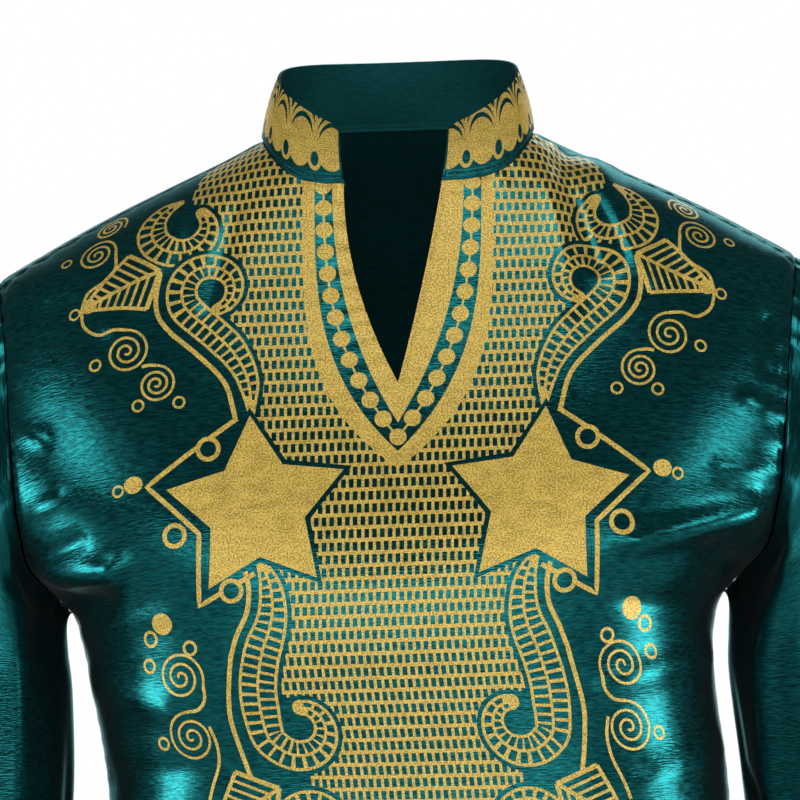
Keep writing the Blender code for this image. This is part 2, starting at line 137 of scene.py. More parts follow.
TORSO = (
    Section(-0.700, 0.2060, 0.1120, 0.1180),
    Section(-0.600, 0.1960, 0.1090, 0.1150),
    Section(-0.500, 0.1780, 0.1030, 0.1030),
    Section(-0.420, 0.1685, 0.1020, 0.0930),
    Section(-0.355, 0.1675, 0.1070, 0.0920),
    Section(-0.300, 0.1680, 0.1170, 0.0960),
    Section(-0.270, 0.1705, 0.1230, 0.0990),
    Section(-0.2515, 0.1765, 0.1255, 0.1010),
    Section(-0.240, 0.1880, 0.1265, 0.1025),
    Section(-0.225, 0.2080, 0.1265, 0.1040),
    Section(-0.200, 0.2285, 0.1245, 0.1060),
    Section(-0.160, 0.2410, 0.1150, 0.1070),
    Section(-0.120, 0.2385, 0.1010, 0.1040),
    Section(-0.090, 0.2255, 0.0890, 0.0990),
    Section(-0.072, 0.2150, 0.0820, 0.0940),
    Section(-0.057, 0.1900, 0.0760, 0.0890),
    Section(-0.037, 0.1520, 0.0680, 0.0810),
    Section(-0.024, 0.1240, 0.0630, 0.0740),
    Section(-0.0085, 0.0900, 0.0570, 0.0640),
    Section(0.000, 0.0740, 0.0540, 0.0580),
    Section(0.010, 0.0600, 0.0510, 0.0510),
)
ARMHOLE = (
    Seam(-0.2515, 0.1765),
    Seam(-0.2450, 0.1825),
    Seam(-0.2300, 0.1960),
    Seam(-0.2070, 0.2020),
    Seam(-0.1640, 0.2065),
    Seam(-0.1090, 0.2105),
    Seam(-0.0720, 0.2150),
)
SLIT_EDGES = {Side.RIGHT: Slit(0.0290, 1.00), Side.LEFT: Slit(0.0235, 0.25)}
SLEEVE = (
    Ring(0, 0.1765, -0.2515, 0.2150, -0.0720, 0.0570, 0.000),
    Ring(1, 0.1775, -0.2530, 0.2400, -0.0900, 0.0615, 0.000),
    Ring(2, 0.1785, -0.2555, 0.2645, -0.1190, 0.0630, 0.000),
    Ring(3, 0.1790, -0.2590, 0.2850, -0.1600, 0.0635, 0.000),
    Ring(4, 0.1790, -0.2650, 0.2970, -0.2060, 0.0630, 0.000),
    Ring(5, 0.1785, -0.2750, 0.3030, -0.2530, 0.0615, 0.000),
    Ring(6, 0.1775, -0.2980, 0.3050, -0.3000, 0.0600, -0.001),
    Ring(7, 0.1810, -0.3550, 0.3050, -0.3560, 0.0585, -0.003),
    Ring(8, 0.1880, -0.4200, 0.3040, -0.4160, 0.0555, -0.007),
    Ring(9, 0.1960, -0.4900, 0.3020, -0.4820, 0.0510, -0.016),
    Ring(10, 0.2050, -0.5600, 0.2990, -0.5490, 0.0450, -0.028),
    Ring(11, 0.2130, -0.6330, 0.2930, -0.6210, 0.0385, -0.042),
)
FRONT_FOLDS = (
    Fold(-0.190, -0.2310, -0.152, -0.2280, 0.0085, 0.0060),
    Fold(-0.180, -0.2460, -0.160, -0.2470, 0.0080, -0.0050),
    Fold(0.126, -0.2200, 0.192, -0.2080, 0.0085, 0.0060),
    Fold(0.168, -0.2290, 0.178, -0.2420, 0.0080, -0.0045),
    Fold(0.088, -0.0150, 0.108, -0.0700, 0.0090, -0.0045),
    Fold(0.106, -0.0250, 0.128, -0.0800, 0.0100, 0.0030),
)
BACK_FOLDS = (
    Fold(-0.185, -0.2250, -0.120, -0.2550, 0.0110, 0.0050),
    Fold(0.185, -0.2150, 0.125, -0.2500, 0.0110, 0.0050),
    Fold(-0.070, -0.3700, 0.075, -0.3850, 0.0160, 0.0045),
)
SLEEVE_FOLDS = (
    SleeveFold(1, 52, 1.2, 78, 6.5, 9, 0.0040),
    SleeveFold(1, 105, 2.2, 88, 7.5, 9, -0.0040),
    SleeveFold(1, 128, 3.0, 150, 8.5, 10, 0.0035),
    SleeveFold(1, 235, 2.0, 262, 8.0, 11, 0.0040),
    SleeveFold(1, 300, 7.0, 215, 8.4, 12, 0.0045),
    SleeveFold(1, 60, 7.8, 130, 8.8, 12, 0.0045),
    SleeveFold(-1, 60, 1.6, 84, 7.0, 9, 0.0040),
    SleeveFold(-1, 108, 2.4, 96, 8.0, 9, -0.0040),
    SleeveFold(-1, 132, 3.4, 118, 8.0, 10, 0.0035),
    SleeveFold(-1, 240, 2.4, 250, 7.4, 11, 0.0040),
    SleeveFold(-1, 290, 7.4, 220, 8.8, 12, 0.0045),
    SleeveFold(-1, 70, 7.4, 140, 8.2, 12, 0.0045),
)

# Finer creases, which the solids don't have
FRONT_CREASES = (
    Fold(-0.206, -0.1520, -0.188, -0.1570, 0.0060, 0.0016),
    Fold(-0.204, -0.2000, -0.180, -0.1900, 0.0050, 0.0012),
    Fold(-0.196, -0.2240, -0.170, -0.2120, 0.0050, -0.0014),
    Fold(-0.168, -0.2600, -0.120, -0.2520, 0.0075, 0.0016),
    Fold(-0.166, -0.2900, -0.128, -0.3040, 0.0090, 0.0018),
    Fold(-0.164, -0.3450, -0.105, -0.3330, 0.0100, -0.0016),
    Fold(0.204, -0.1600, 0.186, -0.1480, 0.0050, 0.0014),
    Fold(0.200, -0.1320, 0.196, -0.1080, 0.0060, -0.0022),
    Fold(0.202, -0.1900, 0.172, -0.1840, 0.0050, 0.0012),
    Fold(0.166, -0.2640, 0.124, -0.2520, 0.0075, -0.0014),
    Fold(0.165, -0.2840, 0.112, -0.2960, 0.0090, 0.0020),
    Fold(0.164, -0.3320, 0.118, -0.3500, 0.0100, 0.0016),
    Fold(0.082, -0.0280, 0.092, -0.0960, 0.0055, 0.0012),
    Fold(-0.084, -0.0300, -0.100, -0.0880, 0.0060, -0.0012),
    Fold(-0.120, -0.0500, -0.150, -0.0980, 0.0080, 0.0014),
    Fold(0.140, -0.0620, 0.168, -0.1060, 0.0080, -0.0014),
    Fold(-0.060, -0.4100, 0.036, -0.4240, 0.0140, 0.0022),
    Fold(0.020, -0.4600, 0.110, -0.4420, 0.0130, -0.0020),
    Fold(-0.142, -0.4200, -0.080, -0.4480, 0.0120, 0.0020),
    Fold(-0.034, -0.5200, -0.016, -0.6300, 0.0170, 0.0026),
    Fold(0.072, -0.5400, 0.094, -0.6600, 0.0180, -0.0026),
    Fold(-0.120, -0.5300, -0.140, -0.6500, 0.0160, 0.0024),
)
BACK_CREASES = (
    Fold(-0.190, -0.1500, -0.140, -0.1820, 0.0080, 0.0018),
    Fold(0.192, -0.1400, 0.150, -0.1760, 0.0080, -0.0018),
    Fold(-0.150, -0.1050, -0.060, -0.1250, 0.0120, 0.0020),
    Fold(0.140, -0.1000, 0.070, -0.1300, 0.0120, 0.0018),
    Fold(-0.150, -0.2900, -0.060, -0.3200, 0.0120, 0.0026),
    Fold(0.156, -0.2850, 0.040, -0.3300, 0.0120, 0.0026),
    Fold(-0.140, -0.3450, -0.020, -0.3360, 0.0100, -0.0022),
    Fold(0.150, -0.3600, 0.080, -0.3480, 0.0100, -0.0022),
    Fold(-0.100, -0.4200, 0.040, -0.4080, 0.0130, 0.0026),
    Fold(0.000, -0.0600, 0.006, -0.1400, 0.0140, -0.0016),
    Fold(-0.060, -0.5000, -0.080, -0.6500, 0.0190, 0.0030),
    Fold(0.050, -0.4900, 0.070, -0.6400, 0.0190, -0.0030),
    Fold(0.130, -0.5200, 0.146, -0.6600, 0.0170, 0.0026),
)
SLEEVE_CREASES = (
    SleeveFold(1, 20, 0.8, 34, 3.6, 7, 0.0014),
    SleeveFold(1, 66, 0.9, 70, 2.6, 5, -0.0016),
    SleeveFold(1, 118, 0.9, 126, 2.2, 5, 0.0014),
    SleeveFold(1, -20, 6.6, 40, 7.6, 8, 0.0020),
    SleeveFold(1, 170, 6.8, 110, 7.7, 8, -0.0022),
    SleeveFold(1, 200, 7.4, 250, 8.0, 8, -0.0020),
    SleeveFold(1, 96, 8.6, 40, 9.4, 9, 0.0020),
    SleeveFold(1, 280, 9.2, 330, 9.9, 9, 0.0018),
    SleeveFold(1, 140, 9.4, 90, 10.2, 8, -0.0016),
    SleeveFold(1, 316, 0.9, 300, 3.2, 6, 0.0015),
    SleeveFold(1, 270, 0.9, 274, 2.4, 5, -0.0015),
    SleeveFold(-1, 24, 0.9, 40, 4.0, 7, 0.0014),
    SleeveFold(-1, 74, 0.8, 80, 2.8, 5, -0.0016),
    SleeveFold(-1, 122, 1.0, 134, 2.4, 5, 0.0014),
    SleeveFold(-1, -10, 6.9, 48, 7.9, 8, 0.0020),
    SleeveFold(-1, 165, 7.2, 104, 8.1, 8, -0.0022),
    SleeveFold(-1, 206, 7.0, 262, 7.7, 8, -0.0020),
    SleeveFold(-1, 88, 8.9, 36, 9.8, 9, 0.0020),
    SleeveFold(-1, 272, 8.9, 336, 9.7, 9, 0.0018),
    SleeveFold(-1, 150, 9.7, 84, 10.4, 8, -0.0016),
    SleeveFold(-1, 322, 0.9, 310, 3.0, 6, 0.0015),
    SleeveFold(-1, 264, 1.0, 270, 2.6, 5, -0.0015),
)


@cache
def columns(rows: Sequence[Any], column: str) -> tuple[Array, Array, Array]:
    """Places, values and slopes of one column of a table."""
    knots = np.array([row[0] for row in rows])
    values = np.array([getattr(row, column) for row in rows])
    return knots, values, np.gradient(values, knots)


def smooth_table(rows: Sequence[Any], column: str, at: Array) -> Array:
    """Read one column of a table through a smooth curve.

    Args:
        rows: The table. The first value of a row is its place.
        column: Name of the column.
        at: Places to read.

    Returns:
        The column's value at each place.
    """
    knots, values, slopes = columns(rows, column)
    at = np.clip(at, knots[0] - 4 * TINY, knots[-1] + 4 * TINY)
    i = np.clip(np.searchsorted(knots, at) - 1, 0, len(knots) - 2)
    span = knots[i + 1] - knots[i]
    t = (at - knots[i]) / span
    rise = values[i + 1] - values[i]
    start = slopes[i] * span
    end = slopes[i + 1] * span
    return values[i] + t * (start + t * (3 * rise - 2 * start - end + t * (start + end - 2 * rise)))


def ease(low: float, high: float, at: Array) -> Array:
    """Rise from 0 at low to 1 at high, with a soft start and end."""
    t = np.clip((at - low) / (high - low), 0, 1)
    return t * t * (3 - 2 * t)


def unit(vectors: Array) -> Array:
    """Scale vectors to length 1."""
    return vectors / np.linalg.norm(vectors, axis=-1, keepdims=True)


def outward(surface: Surface, u: Array, v: Array) -> Array:
    """Find the unit normal of a surface of two parameters.

    Args:
        surface: Function from the parameters to points.
        u: First parameter.
        v: Second parameter.

    Returns:
        Normals that point out of the garment.
    """
    across = surface(u + TINY, v) - surface(u - TINY, v)
    up = surface(u, v + TINY) - surface(u, v - TINY)
    return unit(np.cross(across, up))


def line_folds(folds: Sequence[Fold], x: Array, z: Array) -> Array:
    """Add up straight folds.

    Args:
        folds: The folds.
        x: Places across the front view.
        z: Heights.

    Returns:
        How far the cloth rises at each place.
    """
    total = np.zeros_like(x)
    for fold in folds:
        run_x = fold.x_2 - fold.x_1
        run_z = fold.z_2 - fold.z_1
        length_2 = run_x**2 + run_z**2
        t = np.clip(((x - fold.x_1) * run_x + (z - fold.z_1) * run_z) / length_2, 0, 1)
        away_2 = (x - fold.x_1 - t * run_x) ** 2 + (z - fold.z_1 - t * run_z) ** 2
        total += fold.rise * np.exp(-away_2 / fold.width**2)
    return total


@dataclass(frozen=True)
class Pose:
    """How the wearer stands: one shoulder a little higher, the waist a little to one side."""

    tilt: float = 0.033
    tilt_fade: tuple[float, float] = (-0.450, -0.250)
    body_sway: float = 0.012
    sleeve_sway: float = 0.006
    sway_fade: tuple[float, float] = (-0.260, -0.370)

    def lean(self, points: Array, sway: float) -> Array:
        """Lean upright points into the pose.

        Args:
            points: Points of the upright garment.
            sway: How far the waist moves to the side.

        Returns:
            The leaned points.
        """
        x, y, z = points[..., 0], points[..., 1], points[..., 2]
        tilt = self.tilt * ease(*self.tilt_fade, z)
        return np.stack([x + sway * ease(*self.sway_fade, z), y, z + tilt * x], axis=-1)


@dataclass(frozen=True)
class Form:
    """The garment's form on the body: torso, armholes, neckline and slit."""

    pose: Pose = field(default_factory=Pose)
    corner_fullness: float = 0.045
    seam_gap: float = 0.0003
    seam_angle: float = radians(74)
    neck_half_width: float = 0.074
    neck_drop: float = 0.026
    neck_squareness: float = 5.8
    back_rise: float = 0.006
    back_squareness: float = 4
    slit_bottom: float = -0.133
    seam_margin: float = 0.016
    hem_waves: int = 7
    hem_rise: float = 0.0040
    hem_fade: tuple[float, float] = (-0.420, -0.700)

    @property
    def hem(self) -> float:
        """Height of the hem."""
        return TORSO[0].height

    @property
    def underarm(self) -> float:
        """Height of the underarm."""
        return ARMHOLE[0].height

    @property
    def tip(self) -> float:
        """Height of the shoulder tip."""
        return ARMHOLE[-1].height

    def bare(self, angle: Array, height: Array) -> Array:
        """Find points of the torso without folds.

        Args:
            angle: 0 at the centre front, a quarter turn at the wearer's left.
            height: Height above the neck base.

        Returns:
            Points of the upright torso.
        """
        width = smooth_table(TORSO, "half_width", height)
        front = smooth_table(TORSO, "front", height)
        back = smooth_table(TORSO, "back", height)
        depth = np.where(np.cos(angle) > 0, front, back)
        full = 1 + self.corner_fullness * np.sin(2 * angle) ** 2
        x = width * np.sin(angle) * full
        y = -depth * np.cos(angle) * full
        return np.stack([x, y, height + 0 * x], axis=-1)

    def torso(self, angle: Array, height: Array) -> Array:
        """Find points of the torso's outer surface.

        Args:
            angle: 0 at the centre front, a quarter turn at the wearer's left.
            height: Height of the upright garment.

        Returns:
            Points with folds and creases, in the wearer's pose.
        """
        angle, height = np.broadcast_arrays(angle, height)
        points = self.bare(angle, height)
        x, y, z = points[..., 0], points[..., 1], points[..., 2]
        facing = ease(0.0, 0.25, np.cos(angle))
        behind = ease(0.0, 0.25, -np.cos(angle))
        folds = facing * line_folds(FRONT_FOLDS + FRONT_CREASES, x, z)
        folds = folds + behind * line_folds(BACK_FOLDS + BACK_CREASES, x, z)
        seam = smooth_table(ARMHOLE, "reach", z) - np.abs(x)
        above = ease(self.underarm - self.seam_margin, self.underarm, z)
        folds *= 1 - above * (1 - ease(0, self.seam_margin, seam))
        folds *= ease(1.05, 1.35, np.hypot(x, y) / self.neck_half_width)
        waves = self.hem_rise * np.cos(self.hem_waves * angle + 0.6) * ease(*self.hem_fade, z)
        rise = (folds + waves)[..., None]
        moved = points + rise * outward(self.bare, angle, height)
        return self.pose.lean(moved, self.pose.body_sway)

    def solve_angle(self, x: Array, height: Array) -> Array:
        """Find the angle, up to a quarter turn, at which a section reaches x."""
        width = smooth_table(TORSO, "half_width", height)
        low = 0.0 * x
        high = pi / 2 + 0.0 * x
        for _ in range(40):
            middle = (low + high) / 2
            full = 1 + self.corner_fullness * np.sin(2 * middle) ** 2
            short = width * np.sin(middle) * full < x
            low = np.where(short, middle, low)
            high = np.where(short, high, middle)
        return (low + high) / 2

    def armhole(self, turn: Array) -> tuple[Array, Array]:
        """Find the armhole seam.

        Args:
            turn: 0 at the shoulder tip, pi at the underarm, with the front between them.

        Returns:
            Angle and height of the seam.
        """
        middle = (self.tip + self.underarm) / 2
        height = middle + (self.tip - middle) * np.cos(turn)
        reach = smooth_table(ARMHOLE, "reach", height)
        angle = self.solve_angle(reach, height)
        return np.where(np.sin(turn) >= 0, angle, pi - angle), height

    def neckline(self, turn: Array) -> tuple[Array, Array]:
        """Find the neckline.

        Args:
            turn: 0 at the centre front, pi at the centre back.

        Returns:
            Angle and height of the neckline.
        """
        part = np.abs(np.sin(turn))
        drop = -self.neck_drop * (1 - part**self.neck_squareness)
        rise = self.back_rise * (1 - part**self.back_squareness)
        height = np.where(np.cos(turn) > 0, drop, rise)
        angle = self.solve_angle(self.neck_half_width * part, height)
        return np.where(np.cos(turn) > 0, angle, pi - angle), height

    def turn_at_seam(
        self, path: Callable[[Array], tuple[Array, Array]], low: float, high: float
    ) -> float:
        """Find the turn at which a path meets the shoulder seam, by halving."""
        rising = path(np.array(high))[0] > path(np.array(low))[0]
        middle = (low + high) / 2
        for _ in range(40):
            middle = (low + high) / 2
            if (path(np.array(middle))[0] < self.seam_angle) == rising:
                low = middle
            else:
                high = middle
        return middle

    @property
    def armhole_seam_turn(self) -> float:
        """Turn round the armhole where the shoulder seam starts."""
        return self.turn_at_seam(self.armhole, 0.0, 1.2)

    @property
    def neck_seam_turn(self) -> float:
        """Turn round the neckline where the shoulder seam ends."""
        return self.turn_at_seam(self.neckline, 0.8, pi / 2)

    def slit_turn(self, side: Side) -> float:
        """Turn round the neckline at the slit's top corner."""
        return float(np.arcsin(SLIT_EDGES[side].opening / self.neck_half_width))

    def slit(self, side: Side, at: Array) -> tuple[Array, Array]:
        """Find an edge of the slit.

        Args:
            side: Which edge.
            at: 0 at its bottom, 1 at the neckline.

        Returns:
            Angle and height of the edge.
        """
        edge = SLIT_EDGES[side]
        top = self.neckline(np.array(self.slit_turn(side)))[1]
        height = self.slit_bottom + at * (top - self.slit_bottom)
        x = edge.opening * (at + edge.bow * at * (1 - at))
        return self.solve_angle(x, height), height

    def seam_step(self, angle: Array, height: Array) -> Array:
        """Find the angle that spans half a seam gap."""
        section = self.bare(angle + TINY, height) - self.bare(angle - TINY, height)
        return self.seam_gap / 2 * 2 * TINY / np.linalg.norm(section, axis=-1)

    def front_outline(self, side: Side, count: int) -> tuple[Array, Array]:
        """Walk round one half of the front, from the centre of the hem to the slit's bottom.

        Args:
            side: Which half.
            count: Points on the longest stretch.

        Returns:
            Angles from the centre front, and heights.
        """
        seam_turn = self.armhole_seam_turn
        neck_turn = self.neck_seam_turn
        hem = np.linspace(0, pi / 2, count)
        side_z = np.linspace(self.hem, self.underarm, count * 3 // 2)
        arm = self.armhole(np.linspace(pi, seam_turn, count))
        tip = self.armhole(np.array(seam_turn))[1]
        neck = self.neckline(np.array(neck_turn))[1]
        shoulder = np.linspace(tip, neck, count * 2 // 3)
        collar = self.neckline(np.linspace(neck_turn, self.slit_turn(side), count // 2))
        slit = self.slit(side, np.linspace(1, 0, count // 2))
        side_a = pi / 2 - self.seam_step(pi / 2 + 0 * side_z, side_z)
        seam_a = self.seam_angle - self.seam_step(self.seam_angle + 0 * shoulder, shoulder)
        hem = hem * side_a[0] / (pi / 2)
        angle = [hem[:-1], side_a[:-1], arm[0][:-1], seam_a[:-1], collar[0][:-1], slit[0][:-1]]
        height = [self.hem + 0 * hem[:-1], side_z[:-1], arm[1][:-1], shoulder[:-1]]
        height += [collar[1][:-1], slit[1][:-1]]
        return np.concatenate(angle), np.concatenate(height)

    def back_outline(self, count: int) -> tuple[Array, Array]:
        """Walk round one half of the back, from the centre of the hem to the centre back neck.

        Args:
            count: Points on the longest stretch.

        Returns:
            Angles from the centre back, and heights.
        """
        seam_turn = self.armhole_seam_turn
        neck_turn = self.neck_seam_turn
        side_z = np.linspace(self.hem, self.underarm, count * 3 // 2)
        arm = self.armhole(np.linspace(-pi, seam_turn, count * 5 // 4))
        tip = self.armhole(np.array(seam_turn))[1]
        neck = self.neckline(np.array(neck_turn))[1]
        shoulder = np.linspace(tip, neck, count * 2 // 3)
        collar = self.neckline(np.linspace(neck_turn, pi, count // 2))
        side_a = pi / 2 + self.seam_step(pi / 2 + 0 * side_z, side_z)
        seam_a = self.seam_angle + self.seam_step(self.seam_angle + 0 * shoulder, shoulder)
        hem = pi + np.linspace(0, 1, count) * (side_a[0] - pi)
        angle = [hem[:-1], side_a[:-1], arm[0][:-1], seam_a[:-1], collar[0][:-1]]
        height = [self.hem + 0 * hem[:-1], side_z[:-1], arm[1][:-1], shoulder[:-1], collar[1][:-1]]
        return pi - np.concatenate(angle), np.concatenate(height)


@dataclass
class FlatCloth:
    """A torso panel laid flat: s across the cloth from its centre line, q up along it.

    Both are lengths along the cloth. q equals the height at the reference height.
    """

    form: Form
    is_front: bool
    step: float = 0.001
    reference: float = -0.300
    widest: float = 0.330
    top: float = 0.0100
    last_angle: float = radians(125)
    q_span: tuple[float, float] = (-0.760, 0.180)

    def __post_init__(self) -> None:
        """Work out the tables between the flat cloth and the form."""
        self.heights = np.arange(self.form.hem, self.top, self.step)
        self.angles = np.linspace(0, self.last_angle, 501)
        ring = self._ring(self.angles[None, :], self.heights[:, None])
        lengths = np.linalg.norm(np.diff(ring, axis=1), axis=-1).cumsum(axis=1)
        self.s_of_angle = np.pad(lengths, ((0, 0), (1, 0)))
        self.s_line = np.arange(0, self.widest, self.step)
        self.angle_of_s = np.array(
            [np.interp(self.s_line, row, self.angles) for row in self.s_of_angle]
        )
        points = self._ring(self.angle_of_s, self.heights[:, None])
        rise = np.linalg.norm(np.diff(points, axis=0), axis=-1).cumsum(axis=0)
        rise = np.pad(rise, ((1, 0), (0, 0)))
        start = np.abs(self.heights - self.reference).argmin()
        self.q_of_height = rise - rise[start] + self.heights[start]
        self.q_line = np.arange(*self.q_span, self.step)
        self.height_of_q = np.array(
            [np.interp(self.q_line, column, self.heights) for column in self.q_of_height.T]
        )

    def _ring(self, angle: Array, height: Array) -> Array:
        """Points at an angle from the panel's own centre line."""
        return self.form.bare(angle if self.is_front else pi - angle, height)

    def _read(self, table: Array, row: Array, column: Array) -> Array:
        """Read a table between its entries."""
        row = np.clip(row, 0, table.shape[0] - 1.001)
        column = np.clip(column, 0, table.shape[1] - 1.001)
        i, j = row.astype(int), column.astype(int)
        u, v = row - i, column - j
        top = table[i, j] * (1 - v) + table[i, j + 1] * v
        low = table[i + 1, j] * (1 - v) + table[i + 1, j + 1] * v
        return top * (1 - u) + low * u

    def flatten(self, angle: Array, height: Array) -> Array:
        """Lay places of the form flat.

        Args:
            angle: Angle from the panel's centre line.
            height: Height.

        Returns:
            Pairs of s and q, with s positive.
        """
        row = (height - self.heights[0]) / self.step
        s = self._read(self.s_of_angle, row, angle / self.angles[1])
        q = self._read(self.q_of_height, row, s / self.step)
        return np.stack([s, q], axis=-1)

    def raise_up(self, flat: Array) -> tuple[Array, Array]:
        """Bring flat places back to the form.

        Args:
            flat: Pairs of s and q, with s negative on the wearer's right.

        Returns:
            Angle round the torso and height.
        """
        s = np.abs(flat[..., 0])
        column = (flat[..., 1] - self.q_line[0]) / self.step
        height = self._read(self.height_of_q, s / self.step, column)
        row = (height - self.heights[0]) / self.step
        angle = self._read(self.angle_of_s, row, s / self.step)
        side = np.where(flat[..., 0] < 0, -1.0, 1.0)
        return side * (angle if self.is_front else pi - angle), height

    def place(self, x: float, z: float) -> Array:
        """Lay a place of the front view flat: x out from the centre line, z the height."""
        height = np.array(z)
        return self.flatten(self.form.solve_angle(np.array(x), height), height)


# Print


@dataclass(frozen=True)
class Shape:
    """One closed shape of a print, laid over those before it."""

    outline: Array
    paint: Paint


def smooth_path(points: Sequence[Sequence[float]], step: float) -> Array:
    """Draw a smooth curve through points.

    Args:
        points: Points on the flat cloth.
        step: Distance between the curve's own points.

    Returns:
        The curve's points, evenly apart.
    """
    knots = np.array(points, dtype=float)
    ends = np.concatenate([[2 * knots[0] - knots[1]], knots, [2 * knots[-1] - knots[-2]]])
    pieces = []
    t = np.linspace(0, 1, 24, endpoint=False)[:, None]
    for a, b, c, d in zip(ends, ends[1:], ends[2:], ends[3:]):
        curve = 2 * b + (c - a) * t + (2 * a - 5 * b + 4 * c - d) * t**2
        pieces.append((curve + (3 * b - a - 3 * c + d) * t**3) / 2)
    dense = np.concatenate([*pieces, knots[-1:]])
    return even(dense, step)


def run_of(points: Array) -> Array:
    """Length of a path up to each of its points."""
    return np.concatenate([[0], np.linalg.norm(np.diff(points, axis=0), axis=1).cumsum()])


def even(points: Array, step: float) -> Array:
    """Space a path's points evenly, about one step apart."""
    run = run_of(points)
    at = np.linspace(0, run[-1], max(2, ceil(run[-1] / step) + 1))
    return np.stack([np.interp(at, run, points[:, 0]), np.interp(at, run, points[:, 1])], axis=1)


def beside(path: Array, away: Array | float) -> Array:
    """Move a path's points to its left, by one distance or one for each point."""
    run = unit(np.gradient(path, axis=0))
    left = np.stack([-run[:, 1], run[:, 0]], axis=1)
    return path + left * np.reshape(away, (-1, 1))


@dataclass
class Print:
    """Foil print, as shapes on the flat cloth. Sizes are in metres."""

    line: float = 0.0017
    least_area: float = 1e-9
    shapes: list[Shape] = field(default_factory=list)

    def lay(self, outline: Array, paint: Paint) -> None:
        """Lay one closed shape."""
        area = signed_area(outline)
        if abs(area) > self.least_area:
            self.shapes.append(Shape(outline if area > 0 else outline[::-1], paint))

    def disc(self, centre: Array, across: float, up: float, paint: Paint) -> None:
        """Lay an oval.

        Args:
            centre: Its middle.
            across: Half its width.
            up: Half its height.
            paint: What it is made of.
        """
        turn = np.linspace(0, 2 * pi, 12 + 4 * ceil(1000 * max(across, up) / 3), endpoint=False)
        self.lay(centre + np.stack([across * np.cos(turn), up * np.sin(turn)], axis=1), paint)

    def ring(self, centre: Array, radius: float) -> None:
        """Lay a small ring of foil with cloth inside."""
        self.disc(centre, radius, radius, Paint.FOIL)
        inside = radius - max(self.line * 0.7, radius * 0.36)
        self.disc(centre, inside, inside, Paint.SATIN)

    def ribbon(self, path: Array, left: Array | float, right: Array | float, paint: Paint) -> None:
        """Lay a ribbon along a path, as a row of four-sided shapes.

        Args:
            path: The path's points.
            left: How far it reaches to the left of the path.
            right: How far it reaches to the right.
            paint: What it is made of.
        """
        self.strip(beside(path, left), beside(path, -np.asarray(right)), paint)

    def strip(self, one: Array, other: Array, paint: Paint) -> None:
        """Lay the strip between two lines, in four-sided shapes, or triangles at sharp turns."""
        for a, b, c, d in zip(one, one[1:], other[1:], other):
            halves = [np.array([a, b, c]), np.array([a, c, d])]
            others = [np.array([a, b, d]), np.array([b, c, d])]
            turns = [signed_area(half) for half in (*halves, *others)]
            if min(turns) * max(turns) > 0:
                halves = [np.array([a, b, c, d])]
            for half in halves:
                self.lay(half, paint)

    def strand(self, path: Array, width: float) -> None:
        """Lay a line of foil along a path."""
        self.ribbon(path, width / 2, width / 2, Paint.FOIL)

    def spiral(self, centre: Array, radius: float, turns: float, start: float, way: int) -> Array:
        """Lay a plain spiral.

        Args:
            centre: Its middle.
            radius: Its outer radius.
            turns: How often it goes round.
            start: Angle of its outer end.
            way: 1 to wind anticlockwise from the outer end, -1 clockwise.

        Returns:
            Its outer end.
        """
        t = np.linspace(0, 1, ceil(30 * turns))
        turn = start + way * t * turns * 2 * pi
        reach = radius * (1 - t) + 0.0009 * t
        path = centre + reach[:, None] * np.stack([np.cos(turn), np.sin(turn)], axis=1)
        self.strand(path, self.line * 0.85)
        return path[0]

    def ladder(self, path: Array, half: Array, rung: float = 0.0050, gap: float = 0.0024) -> None:
        """Lay a band of three strands with rungs between them, and a gap round it.

        Args:
            path: The band's middle.
            half: Its half width at each point.
            rung: Distance between rungs.
            gap: Width of bare cloth round the band.
        """
        self.ribbon(path, half + gap, half + gap, Paint.SATIN)
        self.disc(path[-1], half[-1] + gap, half[-1] + gap, Paint.SATIN)
        self.ribbon(path, half, half, Paint.FOIL)
        self.disc(path[-1], half[-1], half[-1], Paint.FOIL)
        run = run_of(path)
        for way in (-1, 1):
            inner = self.line * 0.45
            start = rung * (1.2 if way > 0 else 1.7)
            while start + rung < run[-1]:
                at = np.linspace(start + 0.0008, start + rung - 0.0008, 4)
                start += rung
                reach = np.interp(at, run, half) - self.line * 0.95
                if reach.min() < inner + 0.0012:
                    continue
                middle = np.stack([np.interp(at, run, path[:, k]) for k in (0, 1)], axis=1)
                ahead = np.stack([np.interp(at + 1e-4, run, path[:, k]) for k in (0, 1)], axis=1)
                run_on = unit(ahead - middle + 1e-12)
                left = way * np.stack([-run_on[:, 1], run_on[:, 0]], axis=1)
                near = middle + left * inner
                far = middle + left * reach[:, None]
                self.strip(near, far, Paint.SATIN)


class Scroll(NamedTuple):
    """Ladder scroll: a stem through places of the front view, then a head that curls round.

    The head's turn and reach, a share of the head's radius, run from its first to its last.
    """

    stem: tuple[tuple[float, float], ...]
    eye: tuple[float, float]
    centre: tuple[float, float]
    turns: tuple[float, float]
    reach: tuple[float, float]
    size: float = 1.0


class Beside(NamedTuple):
    """Strand beside a scroll: how much of it, which side, the band's half widths, and its end."""

    scroll: str
    percent: int
    way: int
    halves: tuple[float, ...]
    tail: tuple[tuple[float, float], ...] = ()


class Spiral(NamedTuple):
    """Plain spiral in the front view, with the angle of its outer end and its way of winding."""

    x: float
    z: float
    radius: float
    start: float
    way: int


class Link(NamedTuple):
    """Strand through places of the front view, from one spiral or to one, by number."""

    route: tuple[tuple[float, float], ...]
    end: int | None = None
    start: int | None = None


